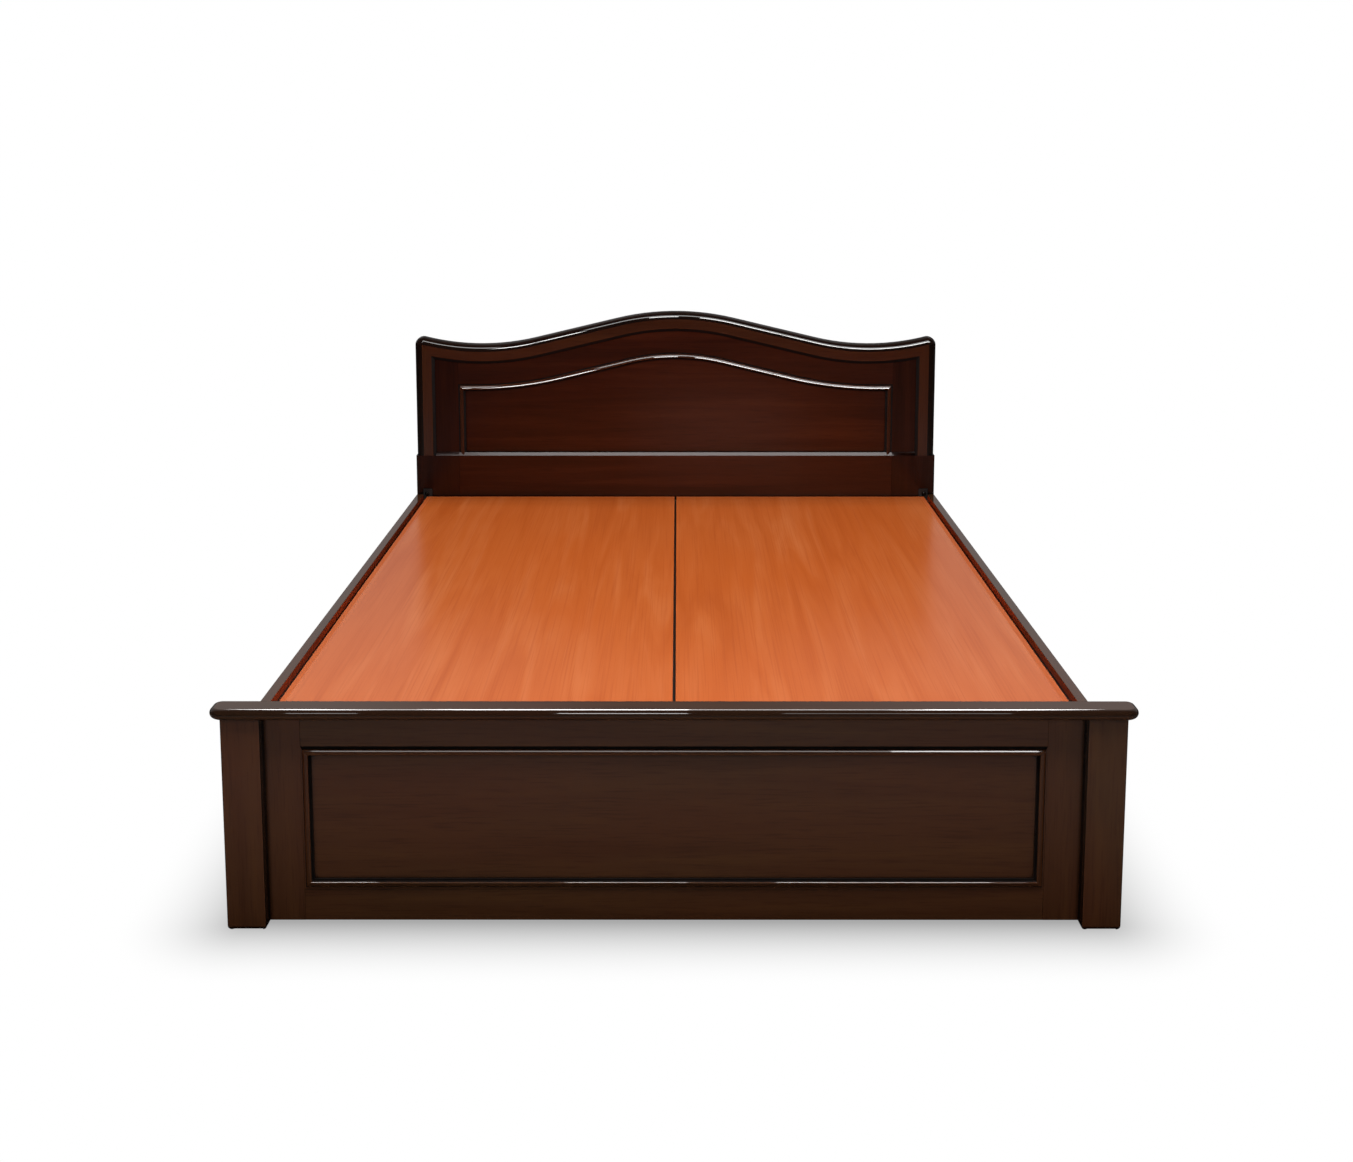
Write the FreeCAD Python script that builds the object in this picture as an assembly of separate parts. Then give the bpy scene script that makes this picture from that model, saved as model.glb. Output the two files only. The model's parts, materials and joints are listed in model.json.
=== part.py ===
import FreeCAD, Part
import math
import os

# A double bed of polished hardwood: a headboard with a curved top, a low panelled footboard,
# two side rails, and a deck of two loose boards. Millimetres, +Z up, the head towards +Y.
# The origin is on the floor, under the middle of the whole bed.

# Mattress, and the room left round it
mattress_width = 1524.0
mattress_length = 1981.0
mattress_side_gap = 2.0
mattress_end_gap = 14.5

# Side rails
side_rail_thickness = 20.0
side_rail_height = 200.0
rail_top_height = 412.0
side_rail_edge_radius = 1.2

# Deck boards, with stiffening battens glued underneath
deck_drop = 5.0
deck_thickness = 12.0
deck_side_gap = 11.5
deck_end_gap = 10.0
deck_centre_gap = 5.0
deck_edge_radius = 1.5
batten_count = 3
batten_width = 50.0
batten_height = 20.0
batten_end_clearance = 4.0
batten_end_inset = 250.0

# Ledgers that carry the deck's edges
ledger_thickness = 25.0
ledger_height = 40.0
ledger_bracket_clearance = 6.0
ledger_screw_count = 5
cross_ledger_screw_count = 3
ledger_screw_end_inset = 60.0

# Centre beam and its legs
beam_width = 70.0
beam_height = 45.0
centre_leg_size = 55.0
centre_leg_spacing = 680.0
centre_leg_tenon_size = 28.0
centre_leg_tenon_length = 22.0
hanger_thickness = 2.0
hanger_seat_length = 40.0
hanger_flange_width = 26.0
hanger_lip_height = 30.0

# Footboard
foot_leg_width = 73.5
foot_leg_depth = 49.0
foot_leg_edge_radius = 3.0
foot_leg_outreach = 51.0
foot_frame_setback = 24.5
foot_frame_floor_gap = 10.0
foot_stile_width = 68.0
foot_top_rail_height = 62.0
foot_bottom_rail_height = 60.5
foot_panel_thickness = 6.0
foot_tenon_length = 22.0
foot_tenon_margin = 8.0
foot_tenon_thickness = 5.0
cap_thickness = 20.0
cap_overhang = 16.0
cap_end_overhang = 19.5
cap_corner_radius = 27.0
cap_back_corner_radius = 17.0
cap_nose_radius = 8.0

# Headboard
head_thickness = 48.0
head_post_width = 130.0
head_post_edge_radius = 5.0
ledge_rise = 128.0
lower_rail_thickness = 30.0
head_tenon_length = 34.0
head_tenon_thickness = 10.0
head_tenon_margin = 32.0
head_panel_thickness = 10.0
groove_depth = 8.0

# Raised border round the upper headboard
border_inset = 2.0
border_width = 58.0
border_thickness = 24.0
border_nose_radius = 16.0
border_back_radius = 8.0
ear_radius = 24.0
bevel_width = 9.0
bevel_depth = 6.0
field_depth = 8.0

# Top edge of the headboard's panel opening: a crown arc, straight flanks and level ends
opening_side_height = 207.5
opening_rise = 96.5
opening_trough_place_share = 0.93
opening_crown_arc_share = 0.31
opening_trough_arc_share = 0.58

# Top edge of the headboard: a crown arc, straight flanks and a trough arc at each side
wood_above_crown = 122.5
wood_above_trough = 121.0
trough_place_share = 0.742
crown_arc_share = 0.422
trough_arc_share = 0.393

# Bead moulding round both panels: a quirk, a sloping roll with a nose, and a low inner step
bead_width = 20.5
bead_quirk_width = 3.0
bead_quirk_depth = 2.0
bead_roll_start = 1.0
bead_roll_height = 7.5
bead_slope_width = 11.5
bead_slope_bulge = 0.7
bead_nose_radius = 2.0
bead_step_drop = 1.2
panel_drop = 5.0

# Corner brackets: steel angles that join the side rails to the headboard and the footboard
bracket_thickness = 3.0
bracket_flange_width = 27.0
bracket_height = 120.0
bracket_rail_flange_trim = 34.0
bracket_corner_radius = 4.0
head_bracket_rise = 17.0
foot_bracket_drop = 12.0
bracket_hole_inset = 15.0
bracket_hole_side_inset = 11.2

# Fasteners
bolt_radius = 4.0
bolt_hole_clearance = 0.3
bolt_head_radius = 7.0
bolt_head_height = 4.0
bolt_socket_across_flats = 5.0
bolt_socket_depth = 2.0
nut_across_flats = 13.0
nut_height = 6.5
washer_radius = 8.5
washer_thickness = 1.6
counterbore_radius = 11.0
counterbore_depth = 12.0
screw_radius = 2.25
screw_head_radius = 4.5
screw_head_height = 3.0
bracket_screw_length = 17.0
ledger_screw_length = 40.0
dowel_radius = 4.0
dowel_length = 36.0
dowel_end_inset = 55.0
foot_dowel_count = 3
cap_dowel_count = 5
cap_dowel_length = 30.0
cap_dowel_reach = 12.0

# Plastic glides let into the underside of every leg
glide_radius = 12.0
glide_thickness = 4.0
glide_stand = 1.5

# Cutting tools run past the surfaces they cut by this much
overrun = 5.0

# Sizes that follow from the driving ones
inner_half_width = mattress_width / 2 + mattress_side_gap
outer_half_width = inner_half_width + side_rail_thickness
inner_length = mattress_length + 2 * mattress_end_gap
total_length = cap_overhang + foot_leg_depth + inner_length + head_thickness
cap_front_y = -total_length / 2
leg_front_y = cap_front_y + cap_overhang
foot_front_y = leg_front_y + foot_frame_setback
foot_back_y = leg_front_y + foot_leg_depth
foot_frame_thickness = foot_leg_depth - foot_frame_setback
head_front_y = foot_back_y + inner_length
head_back_y = head_front_y + head_thickness

side_rail_bottom = rail_top_height - side_rail_height
deck_top = rail_top_height - deck_drop
deck_bottom = deck_top - deck_thickness
beam_bottom = deck_bottom - beam_height
ledger_bottom = deck_bottom - ledger_height
deck_half_width = inner_half_width - deck_side_gap

leg_outer_x = outer_half_width + foot_leg_outreach
leg_inner_x = leg_outer_x - foot_leg_width
foot_opening_x = leg_inner_x - foot_stile_width
foot_opening_top = rail_top_height - foot_top_rail_height
foot_opening_bottom = foot_frame_floor_gap + foot_bottom_rail_height
cap_half_width = leg_outer_x + cap_end_overhang

head_opening_x = outer_half_width - head_post_width
border_outer_x = outer_half_width - border_inset
field_half_width = border_outer_x - border_width
field_y = head_front_y + field_depth
border_back_y = head_front_y + border_thickness
ledge_height = rail_top_height + ledge_rise
ledge_face_height = ledge_height - bevel_width
opening_trough_height = ledge_height + opening_side_height
opening_crown_height = opening_trough_height + opening_rise
trough_height = opening_trough_height + wood_above_trough
crown_height = opening_crown_height + wood_above_crown

bracket_side_x = inner_half_width - bracket_thickness
head_bracket_top = rail_top_height + head_bracket_rise
foot_bracket_top = rail_top_height - foot_bracket_drop

parts = {}


def block(x_span, y_span, z_span):
    """A box between two places along each axis."""
    low = FreeCAD.Vector(min(x_span), min(y_span), min(z_span))
    size = [max(span) - min(span) for span in (x_span, y_span, z_span)]
    return Part.makeBox(size[0], size[1], size[2], low)


def mirrored(shape):
    """The same shape on the other side of the bed."""
    return shape.mirror(FreeCAD.Vector(0, 0, 0), FreeCAD.Vector(1, 0, 0))


def rounded(shape, radius, chosen):
    """Round the edges for which chosen(box of the edge) holds."""
    return shape.makeFillet(radius, [edge for edge in shape.Edges if chosen(edge.BoundBox)])


def upright(box):
    """True for an edge that runs straight up."""
    return box.ZLength > box.XLength + box.YLength


def prism(points, y_span):
    """A prism along Y from (x, z) corners."""
    corners = [FreeCAD.Vector(x, min(y_span), z) for x, z in points]
    face = Part.Face(Part.makePolygon(corners + corners[:1]))
    return face.extrude(FreeCAD.Vector(0, max(y_span) - min(y_span), 0))


def turned(place, axis, radius, length):
    """A round bar from a place along an axis."""
    return Part.makeCylinder(radius, length, place, axis)


def aimed(shape, place, axis):
    """A shape made at the origin along +Z, moved to a place and turned along an axis."""
    shape.Placement = FreeCAD.Placement(place, FreeCAD.Rotation(FreeCAD.Vector(0, 0, 1), axis))
    return shape


def hexagon_bar(across_flats, start, length):
    """A six-sided bar along +Z, from a height start."""
    radius = across_flats / 2 / math.cos(math.radians(30))
    corners = [FreeCAD.Vector(radius * math.cos(math.radians(turn)),
                              radius * math.sin(math.radians(turn)), start)
               for turn in range(0, 420, 60)]
    return Part.Face(Part.makePolygon(corners)).extrude(FreeCAD.Vector(0, 0, length))


def dome_bolt(place, axis, length):
    """A bolt with a low domed head and a hexagonal socket.

    Its head rests on place, and its shank runs along axis.
    """
    ball_radius = (bolt_head_radius ** 2 + bolt_head_height ** 2) / (2 * bolt_head_height)
    ball = Part.makeSphere(ball_radius, FreeCAD.Vector(0, 0, ball_radius - bolt_head_height))
    head = ball.common(Part.makeCylinder(bolt_head_radius, bolt_head_height,
                                         FreeCAD.Vector(0, 0, -bolt_head_height)))
    socket = hexagon_bar(bolt_socket_across_flats, -bolt_head_height - overrun,
                         bolt_socket_depth + overrun)
    bolt = head.cut(socket).fuse(Part.makeCylinder(bolt_radius, length)).removeSplitter()
    return aimed(bolt, place, axis)


def wood_screw(place, axis, length, countersunk):
    """A wood screw whose head meets the surface at place, with its shank along axis."""
    if countersunk:
        head = Part.makeCone(screw_head_radius, screw_radius, screw_head_height)
    else:
        head = Part.makeCylinder(screw_head_radius, screw_head_height,
                                 FreeCAD.Vector(0, 0, -screw_head_height))
    return aimed(head.fuse(Part.makeCylinder(screw_radius, length)).removeSplitter(), place, axis)


def group(shapes):
    """Loose identical pieces kept together."""
    return Part.makeCompound(shapes)


def spread(first, last, count):
    """Evenly spaced places from first to last."""
    return [first + (last - first) * index / (count - 1) for index in range(count)]


def curved_top(crown, trough, trough_x, crown_share, trough_share, drop, half_span, rising, y):
    """Edges of a top line from -half_span to half_span, at a parallel distance drop below.

    A crown arc, two straight flanks and two trough arcs meet smoothly. The two arcs' radii are
    shares of the sum of radii at which the flanks would vanish. Beyond the trough the line
    either keeps rising along its arc or runs level.
    """
    rise = crown - trough
    radius_sum = (trough_x ** 2 + rise ** 2) / (2 * rise)
    crown_radius = crown_share * radius_sum
    trough_radius = trough_share * radius_sum
    climb = trough + trough_radius - (crown - crown_radius)
    reach = math.hypot(trough_x, climb)
    slope = math.atan2(trough_x, climb) - math.acos((crown_radius + trough_radius) / reach)
    crown_radius -= drop
    trough_radius += drop
    crown_centre = crown - drop - crown_radius
    trough_centre = trough - drop + trough_radius

    def on_crown(angle):
        return (crown_radius * math.sin(angle), crown_centre + crown_radius * math.cos(angle))

    def on_trough(angle):
        return (trough_x - trough_radius * math.sin(angle),
                trough_centre - trough_radius * math.cos(angle))

    end_angle = -math.asin((half_span - trough_x) / trough_radius) if rising else 0
    right = [on_crown(slope), on_trough(slope), on_trough((slope + end_angle) / 2),
             on_trough(end_angle)]
    if not rising:
        right.append((half_span, trough - drop))

    def at(point, side):
        return FreeCAD.Vector(side * point[0], y, point[1])

    def half(side):
        edges = [Part.makeLine(at(right[0], side), at(right[1], side)),
                 Part.Arc(at(right[1], side), at(right[2], side), at(right[3], side)).toShape()]
        if not rising:
            edges.append(Part.makeLine(at(right[3], side), at(right[4], side)))
        return edges

    crown_edge = Part.Arc(at(right[0], -1), at((0, crown - drop), 1), at(right[0], 1)).toShape()
    return list(reversed(half(-1))) + [crown_edge] + half(1)


def top_end_height(edges):
    """Height of a top line's right end."""
    return max((vertex.Point for vertex in edges[-1].Vertexes), key=lambda point: point.x).z


def closed_outline(top_edges, half_span, bottom, y):
    """A wire of a top line, two upright sides and a level bottom."""
    top = top_end_height(top_edges)
    corners = [FreeCAD.Vector(half_span, y, top), FreeCAD.Vector(half_span, y, bottom),
               FreeCAD.Vector(-half_span, y, bottom), FreeCAD.Vector(-half_span, y, top)]
    sides = [Part.makeLine(corners[index], corners[index + 1]) for index in range(3)]
    return Part.Wire(Part.__sortEdges__(top_edges + sides))


def head_top(drop, half_span, y):
    """The headboard's own top line."""
    return curved_top(crown_height, trough_height, trough_place_share * outer_half_width,
                      crown_arc_share, trough_arc_share, drop, half_span, True, y)


def opening_top(drop, half_span, y):
    """The top line of the headboard's panel opening."""
    return curved_top(opening_crown_height, opening_trough_height,
                      opening_trough_place_share * head_opening_x, opening_crown_arc_share,
                      opening_trough_arc_share, drop, half_span, False, y)


def plate(outline, thickness):
    """A flat board along +Y from an outline."""
    return Part.Face(outline).extrude(FreeCAD.Vector(0, thickness, 0))


def bead_section(edge, inward, face_y):
    """The bead's cross-section, drawn from the opening's edge inwards.

    Its base lies on the panel, and heights count forwards from the face of the wood around it.
    """
    def at(across, height):
        return edge + inward * across + FreeCAD.Vector(0, face_y - height - edge.y, 0)

    ridge = bead_quirk_width + bead_slope_width
    nose_end = ridge + bead_nose_radius
    nose_rise = bead_nose_radius * math.sqrt(1 / 2)
    roll_start = at(bead_quirk_width, bead_roll_start)
    slope_middle = at(bead_quirk_width + bead_slope_width / 2,
                      (bead_roll_start + bead_roll_height) / 2 + bead_slope_bulge)
    ridge_top = at(ridge, bead_roll_height)
    nose_middle = at(ridge + nose_rise, bead_roll_height - bead_nose_radius + nose_rise)
    nose_tip = at(nose_end, bead_roll_height - bead_nose_radius)
    corners = [nose_tip, at(nose_end, -bead_step_drop), at(bead_width, -bead_step_drop),
               at(bead_width, -panel_drop), at(0, -panel_drop), at(0, -bead_quirk_depth),
               at(bead_quirk_width, -bead_quirk_depth), roll_start]
    straight = [Part.makeLine(corners[index], corners[index + 1]) for index in range(7)]
    return Part.Wire([Part.Arc(roll_start, slope_middle, ridge_top).toShape(),
                      Part.Arc(ridge_top, nose_middle, nose_tip).toShape()] + straight)


def straight_bead(start, end, inward, face_y, mitre):
    """A straight length of bead, with its ends cut to a mitre outline of (x, z) corners."""
    run = end - start
    bar = Part.Face(bead_section(start, inward, face_y)).extrude(run)
    depth = (face_y - bead_roll_height - overrun, face_y + panel_drop + overrun)
    return bar.common(prism(mitre, depth))


def glide(x, y):
    """A round plastic glide under a leg, standing a little proud of it."""
    return turned(FreeCAD.Vector(x, y, 0), FreeCAD.Vector(0, 0, 1), glide_radius, glide_thickness)


def build_footboard():
    """Two legs, a frame and panel between them, beads and the cap."""
    legs_y = (leg_front_y, foot_back_y)
    leg = block((leg_inner_x, leg_outer_x), legs_y, (glide_stand, rail_top_height))
    leg = rounded(leg, foot_leg_edge_radius,
                  lambda box: upright(box) or box.ZMax < glide_stand + overrun)
    leg_middle = FreeCAD.Vector((leg_inner_x + leg_outer_x) / 2, (leg_front_y + foot_back_y) / 2, 0)
    foot_glide = glide(leg_middle.x, leg_middle.y)
    leg = leg.cut(foot_glide)

    frame_y = (foot_front_y, foot_back_y)
    frame_z = (foot_frame_floor_gap, rail_top_height)
    stile = block((foot_opening_x, leg_inner_x), frame_y, frame_z)
    top_rail = block((-foot_opening_x, foot_opening_x), frame_y, (foot_opening_top, rail_top_height))
    bottom_rail = block((-foot_opening_x, foot_opening_x), frame_y,
                        (foot_frame_floor_gap, foot_opening_bottom))
    tenon_x = foot_opening_x + foot_tenon_length
    tenon_y = (foot_front_y + panel_drop, foot_front_y + panel_drop + foot_tenon_thickness)
    top_tenon = block((-tenon_x, tenon_x), tenon_y,
                      (foot_opening_top + foot_tenon_margin, rail_top_height - foot_tenon_margin))
    bottom_tenon = block((-tenon_x, tenon_x), tenon_y,
                         (foot_frame_floor_gap + foot_tenon_margin,
                          foot_opening_bottom - foot_tenon_margin))
    panel_y = (foot_front_y + panel_drop, foot_front_y + panel_drop + foot_panel_thickness)
    panel = block((-foot_opening_x - groove_depth, foot_opening_x + groove_depth), panel_y,
                  (foot_opening_bottom - groove_depth, foot_opening_top + groove_depth))
    top_rail = top_rail.cut(panel).fuse(top_tenon.cut(panel)).removeSplitter()
    bottom_rail = bottom_rail.cut(panel).fuse(bottom_tenon.cut(panel)).removeSplitter()
    stile = stile.cut(panel).cut(top_tenon).cut(bottom_tenon)

    dowels_y = (foot_front_y + foot_back_y) / 2
    side_dowels = [turned(FreeCAD.Vector(leg_inner_x - dowel_length / 2, dowels_y, z),
                          FreeCAD.Vector(1, 0, 0), dowel_radius, dowel_length)
                   for z in spread(foot_frame_floor_gap + dowel_end_inset,
                                   rail_top_height - dowel_end_inset, foot_dowel_count)]
    cap_dowels_x = spread(-leg_middle.x, leg_middle.x, cap_dowel_count)
    cap_dowels = [turned(FreeCAD.Vector(x, dowels_y, rail_top_height + cap_dowel_reach),
                         FreeCAD.Vector(0, 0, -1), dowel_radius, cap_dowel_length)
                  for x in cap_dowels_x]
    for dowel in side_dowels:
        leg = leg.cut(dowel)
        stile = stile.cut(dowel)
    leg = leg.cut(cap_dowels[-1])
    cap_z = (rail_top_height, rail_top_height + cap_thickness)
    cap = block((-cap_half_width, cap_half_width), (cap_front_y, foot_back_y), cap_z)
    cap = rounded(cap, cap_corner_radius, lambda box: upright(box) and box.YMin < leg_front_y)
    cap = rounded(cap, cap_back_corner_radius, lambda box: upright(box) and box.YMax > foot_back_y - overrun
                  and abs(box.Center.x) > leg_outer_x)
    cap = rounded(cap, cap_nose_radius, lambda box: not upright(box))
    for dowel in cap_dowels:
        cap = cap.cut(dowel)
        top_rail = top_rail.cut(dowel)

    left, right = -foot_opening_x, foot_opening_x
    bottom, top = foot_opening_bottom, foot_opening_top
    inner_left, inner_right = left + bead_width, right - bead_width
    inner_bottom, inner_top = bottom + bead_width, top - bead_width
    y = foot_front_y

    def corner(x, z):
        return FreeCAD.Vector(x, y, z)

    parts["footboard_bead_top"] = straight_bead(
        corner(left, top), corner(right, top), FreeCAD.Vector(0, 0, -1), y,
        [(left, top), (right, top), (inner_right, inner_top), (inner_left, inner_top)])
    parts["footboard_bead_bottom"] = straight_bead(
        corner(left, bottom), corner(right, bottom), FreeCAD.Vector(0, 0, 1), y,
        [(left, bottom), (right, bottom), (inner_right, inner_bottom), (inner_left, inner_bottom)])
    right_bead = straight_bead(
        corner(right, bottom), corner(right, top), FreeCAD.Vector(-1, 0, 0), y,
        [(right, bottom), (right, top), (inner_right, inner_top), (inner_right, inner_bottom)])
    parts["footboard_bead_right"] = right_bead
    parts["footboard_bead_left"] = mirrored(right_bead)
    parts["footboard_cap"] = cap
    parts["footboard_right_leg"] = leg
    parts["footboard_left_leg"] = mirrored(leg)
    parts["footboard_right_stile"] = stile
    parts["footboard_left_stile"] = mirrored(stile)
    parts["footboard_top_rail"] = top_rail
    parts["footboard_bottom_rail"] = bottom_rail
    parts["footboard_panel"] = panel
    parts["footboard_side_dowels"] = group(side_dowels + [mirrored(peg) for peg in side_dowels])
    parts["footboard_cap_dowels"] = group(cap_dowels)
    parts["footboard_glides"] = group([foot_glide, mirrored(foot_glide)])


def build_headboard():
    """Two posts, lower rail, curved top rail, panel, beads and the raised border."""
    front, back = head_front_y, head_back_y
    post_inner, post_outer = head_opening_x, outer_half_width

    # The raised border's outline, the sunk field inside it and the bevel between them
    border_depth = border_back_y - front
    outer = plate(closed_outline(head_top(0, border_outer_x, front), border_outer_x,
                                 side_rail_bottom, front), border_depth)
    ear_height = top_end_height(head_top(0, border_outer_x, front))

    def is_ear(box):
        return box.YLength > border_depth / 2 and abs(box.ZMax - ear_height) < overrun

    outer = rounded(outer, ear_radius, is_ear)
    outer = rounded(outer, border_nose_radius,
                    lambda box: box.YMax < front + overrun and box.ZMax > side_rail_bottom + overrun)
    field_outline = closed_outline(head_top(border_width, field_half_width, front), field_half_width,
                                   ledge_height, front)
    field_opening = plate(field_outline, border_depth)
    bevel_back = closed_outline(
        head_top(border_width, field_half_width, front + bevel_depth), field_half_width,
        ledge_height, front + bevel_depth)
    bevel_front = closed_outline(
        head_top(border_width - bevel_width, field_half_width + bevel_width, front),
        field_half_width + bevel_width, ledge_face_height, front)
    bevel = Part.makeLoft([bevel_back, bevel_front], True, True)
    border = outer.cut(field_opening).cut(bevel)

    # Mitres run from the ears to the corners of the field
    field_corner = top_end_height(head_top(border_width, field_half_width, front))
    mitre_run = FreeCAD.Vector(border_width, 0, ear_height - field_corner)
    mitre_end = mitre_run * (1 + overrun / border_width)
    side_zone = prism([(field_half_width, field_corner),
                       (field_half_width + mitre_end.x, field_corner + mitre_end.z),
                       (outer_half_width + overrun, ledge_face_height),
                       (field_half_width, ledge_face_height)],
                      (front - overrun, border_back_y + overrun))
    above_ledge = block((-outer_half_width, outer_half_width),
                        (front - overrun, border_back_y + overrun),
                        (ledge_face_height, crown_height + overrun))
    crest_moulding = border.common(above_ledge).cut(side_zone).cut(mirrored(side_zone))
    crest_moulding = max(crest_moulding.Solids, key=lambda solid: solid.Volume)
    side_border = border.common(side_zone)

    # The wood behind the border: a full layer at the back and the sunk field in front of it
    back_layer = plate(closed_outline(head_top(0, border_outer_x, border_back_y), border_outer_x,
                                      ledge_face_height, border_back_y), back - border_back_y)
    back_layer = rounded(back_layer, ear_radius,
                         lambda box: box.YLength > overrun and abs(box.ZMax - ear_height) < overrun)
    back_layer = rounded(back_layer, border_back_radius,
                         lambda box: box.YMin > back - overrun and box.ZMax > ledge_height)
    field_layer = plate(closed_outline(head_top(border_width, field_half_width, field_y),
                                       field_half_width, ledge_face_height, field_y),
                        border_back_y - field_y)
    core = back_layer.fuse(field_layer).removeSplitter()

    # The panel opening, and the panel let into grooves round it
    opening = plate(closed_outline(opening_top(0, post_inner, field_y), post_inner,
                                   ledge_height, field_y), back - field_y)
    panel_y = field_y + panel_drop
    panel_x = post_inner + groove_depth
    panel = plate(closed_outline(opening_top(-groove_depth, panel_x, panel_y), panel_x,
                                 ledge_height - groove_depth, panel_y), head_panel_thickness)

    whole_y = (front - overrun, back + overrun)
    post_zone = block((post_inner, post_outer), whole_y, (ledge_face_height, crown_height))
    lower_post = block((post_inner, post_outer), (front, back), (glide_stand, ledge_face_height))
    lower_post = rounded(lower_post, head_post_edge_radius,
                         lambda box: upright(box) and box.XMin > post_outer - overrun)
    ledge_strip = block((post_inner, field_half_width), (front, border_back_y),
                        (ledge_face_height, ledge_height)).cut(bevel)
    post = lower_post.fuse(core.common(post_zone)).fuse(ledge_strip).removeSplitter()

    lower_rail = block((-post_inner, post_inner), (front, front + lower_rail_thickness),
                       (side_rail_bottom, ledge_height)).cut(bevel)
    tenon_x = post_inner + head_tenon_length
    tenon_middle_y = front + lower_rail_thickness / 2
    tenon_y = (tenon_middle_y - head_tenon_thickness / 2, tenon_middle_y + head_tenon_thickness / 2)
    lower_tenon = block((-tenon_x, tenon_x), tenon_y,
                        (side_rail_bottom + head_tenon_margin, ledge_face_height - head_tenon_margin))
    lower_rail = lower_rail.fuse(lower_tenon).removeSplitter().cut(panel)

    top_zone = block((-post_inner, post_inner), whole_y, (ledge_height, crown_height + overrun))
    top_rail = core.common(top_zone).cut(opening)
    upper_middle_y = (border_back_y + back) / 2
    upper_tenon_y = (upper_middle_y - head_tenon_thickness / 2,
                     upper_middle_y + head_tenon_thickness / 2)
    upper_tenon = block((-tenon_x, tenon_x), upper_tenon_y,
                        (opening_trough_height + head_tenon_margin / 2,
                         trough_height - head_tenon_margin))
    upper_tenon = upper_tenon.cut(opening)
    top_rail = top_rail.fuse(upper_tenon).removeSplitter().cut(panel)
    post = post.cut(panel).cut(lower_tenon).cut(upper_tenon)

    # Beads: one along the curved top and one down each side, scribed over the ledge
    path = Part.Wire(opening_top(0, post_inner, field_y))
    start = FreeCAD.Vector(-post_inner, field_y, opening_trough_height)
    section = bead_section(start, FreeCAD.Vector(0, 0, -1), field_y)
    top_bead = path.makePipeShell([section], True, False)
    bead_y = (field_y - bead_roll_height - overrun, panel_y + overrun)
    inner_x = post_inner - bead_width
    inner_z = opening_trough_height - bead_width
    corner_zone = prism([(post_inner, opening_trough_height), (inner_x, inner_z),
                         (inner_x, ledge_face_height), (post_inner, ledge_face_height)], bead_y)
    top_bead = top_bead.cut(corner_zone).cut(mirrored(corner_zone))
    side_bead = Part.Face(bead_section(FreeCAD.Vector(post_inner, field_y, ledge_face_height),
                                       FreeCAD.Vector(-1, 0, 0), field_y))
    side_bead = side_bead.extrude(FreeCAD.Vector(0, 0, opening_trough_height - ledge_face_height))
    side_bead = side_bead.common(corner_zone).cut(lower_rail)
    side_bead = max(side_bead.Solids, key=lambda solid: solid.Volume)

    post_middle_x = (post_inner + post_outer) / 2
    head_glide = glide(post_middle_x, (front + back) / 2)
    post = post.cut(head_glide)

    parts["headboard_right_post"] = post
    parts["headboard_lower_rail"] = lower_rail
    parts["headboard_top_rail"] = top_rail
    parts["headboard_panel"] = panel
    parts["headboard_crest_moulding"] = crest_moulding
    parts["headboard_right_border"] = side_border
    parts["headboard_left_border"] = mirrored(side_border)
    parts["headboard_bead_top"] = top_bead
    parts["headboard_bead_right"] = side_bead
    parts["headboard_bead_left"] = mirrored(side_bead)
    parts["headboard_glides"] = group([head_glide, mirrored(head_glide)])


def bracket(post_face_y, into_bed, top):
    """A right-hand steel angle: one flange on the post's face, one on the side rail.

    into_bed is +1 where the bed lies towards +Y of the post, and -1 where it lies towards -Y.
    """
    bottom = top - bracket_height
    post_flange = block((inner_half_width - bracket_flange_width, inner_half_width),
                        (post_face_y, post_face_y + into_bed * bracket_thickness), (bottom, top))
    post_flange = rounded(post_flange, bracket_corner_radius,
                          lambda box: box.YLength > bracket_thickness / 2
                          and box.XMax < inner_half_width - overrun)
    rail_flange = block((bracket_side_x, inner_half_width),
                        (post_face_y, post_face_y + into_bed * bracket_flange_width),
                        (bottom, top - bracket_rail_flange_trim))
    outer_y = post_face_y + into_bed * bracket_flange_width
    rail_flange = rounded(rail_flange, bracket_corner_radius,
                          lambda box: box.XLength > bracket_thickness / 2
                          and abs(box.Center.y - outer_y) < overrun)
    return post_flange.fuse(rail_flange).removeSplitter()


def bracket_holes(top, trim):
    """Heights of a flange's two holes."""
    return (top - trim - bracket_hole_inset, top - bracket_height + bracket_hole_inset)


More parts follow.
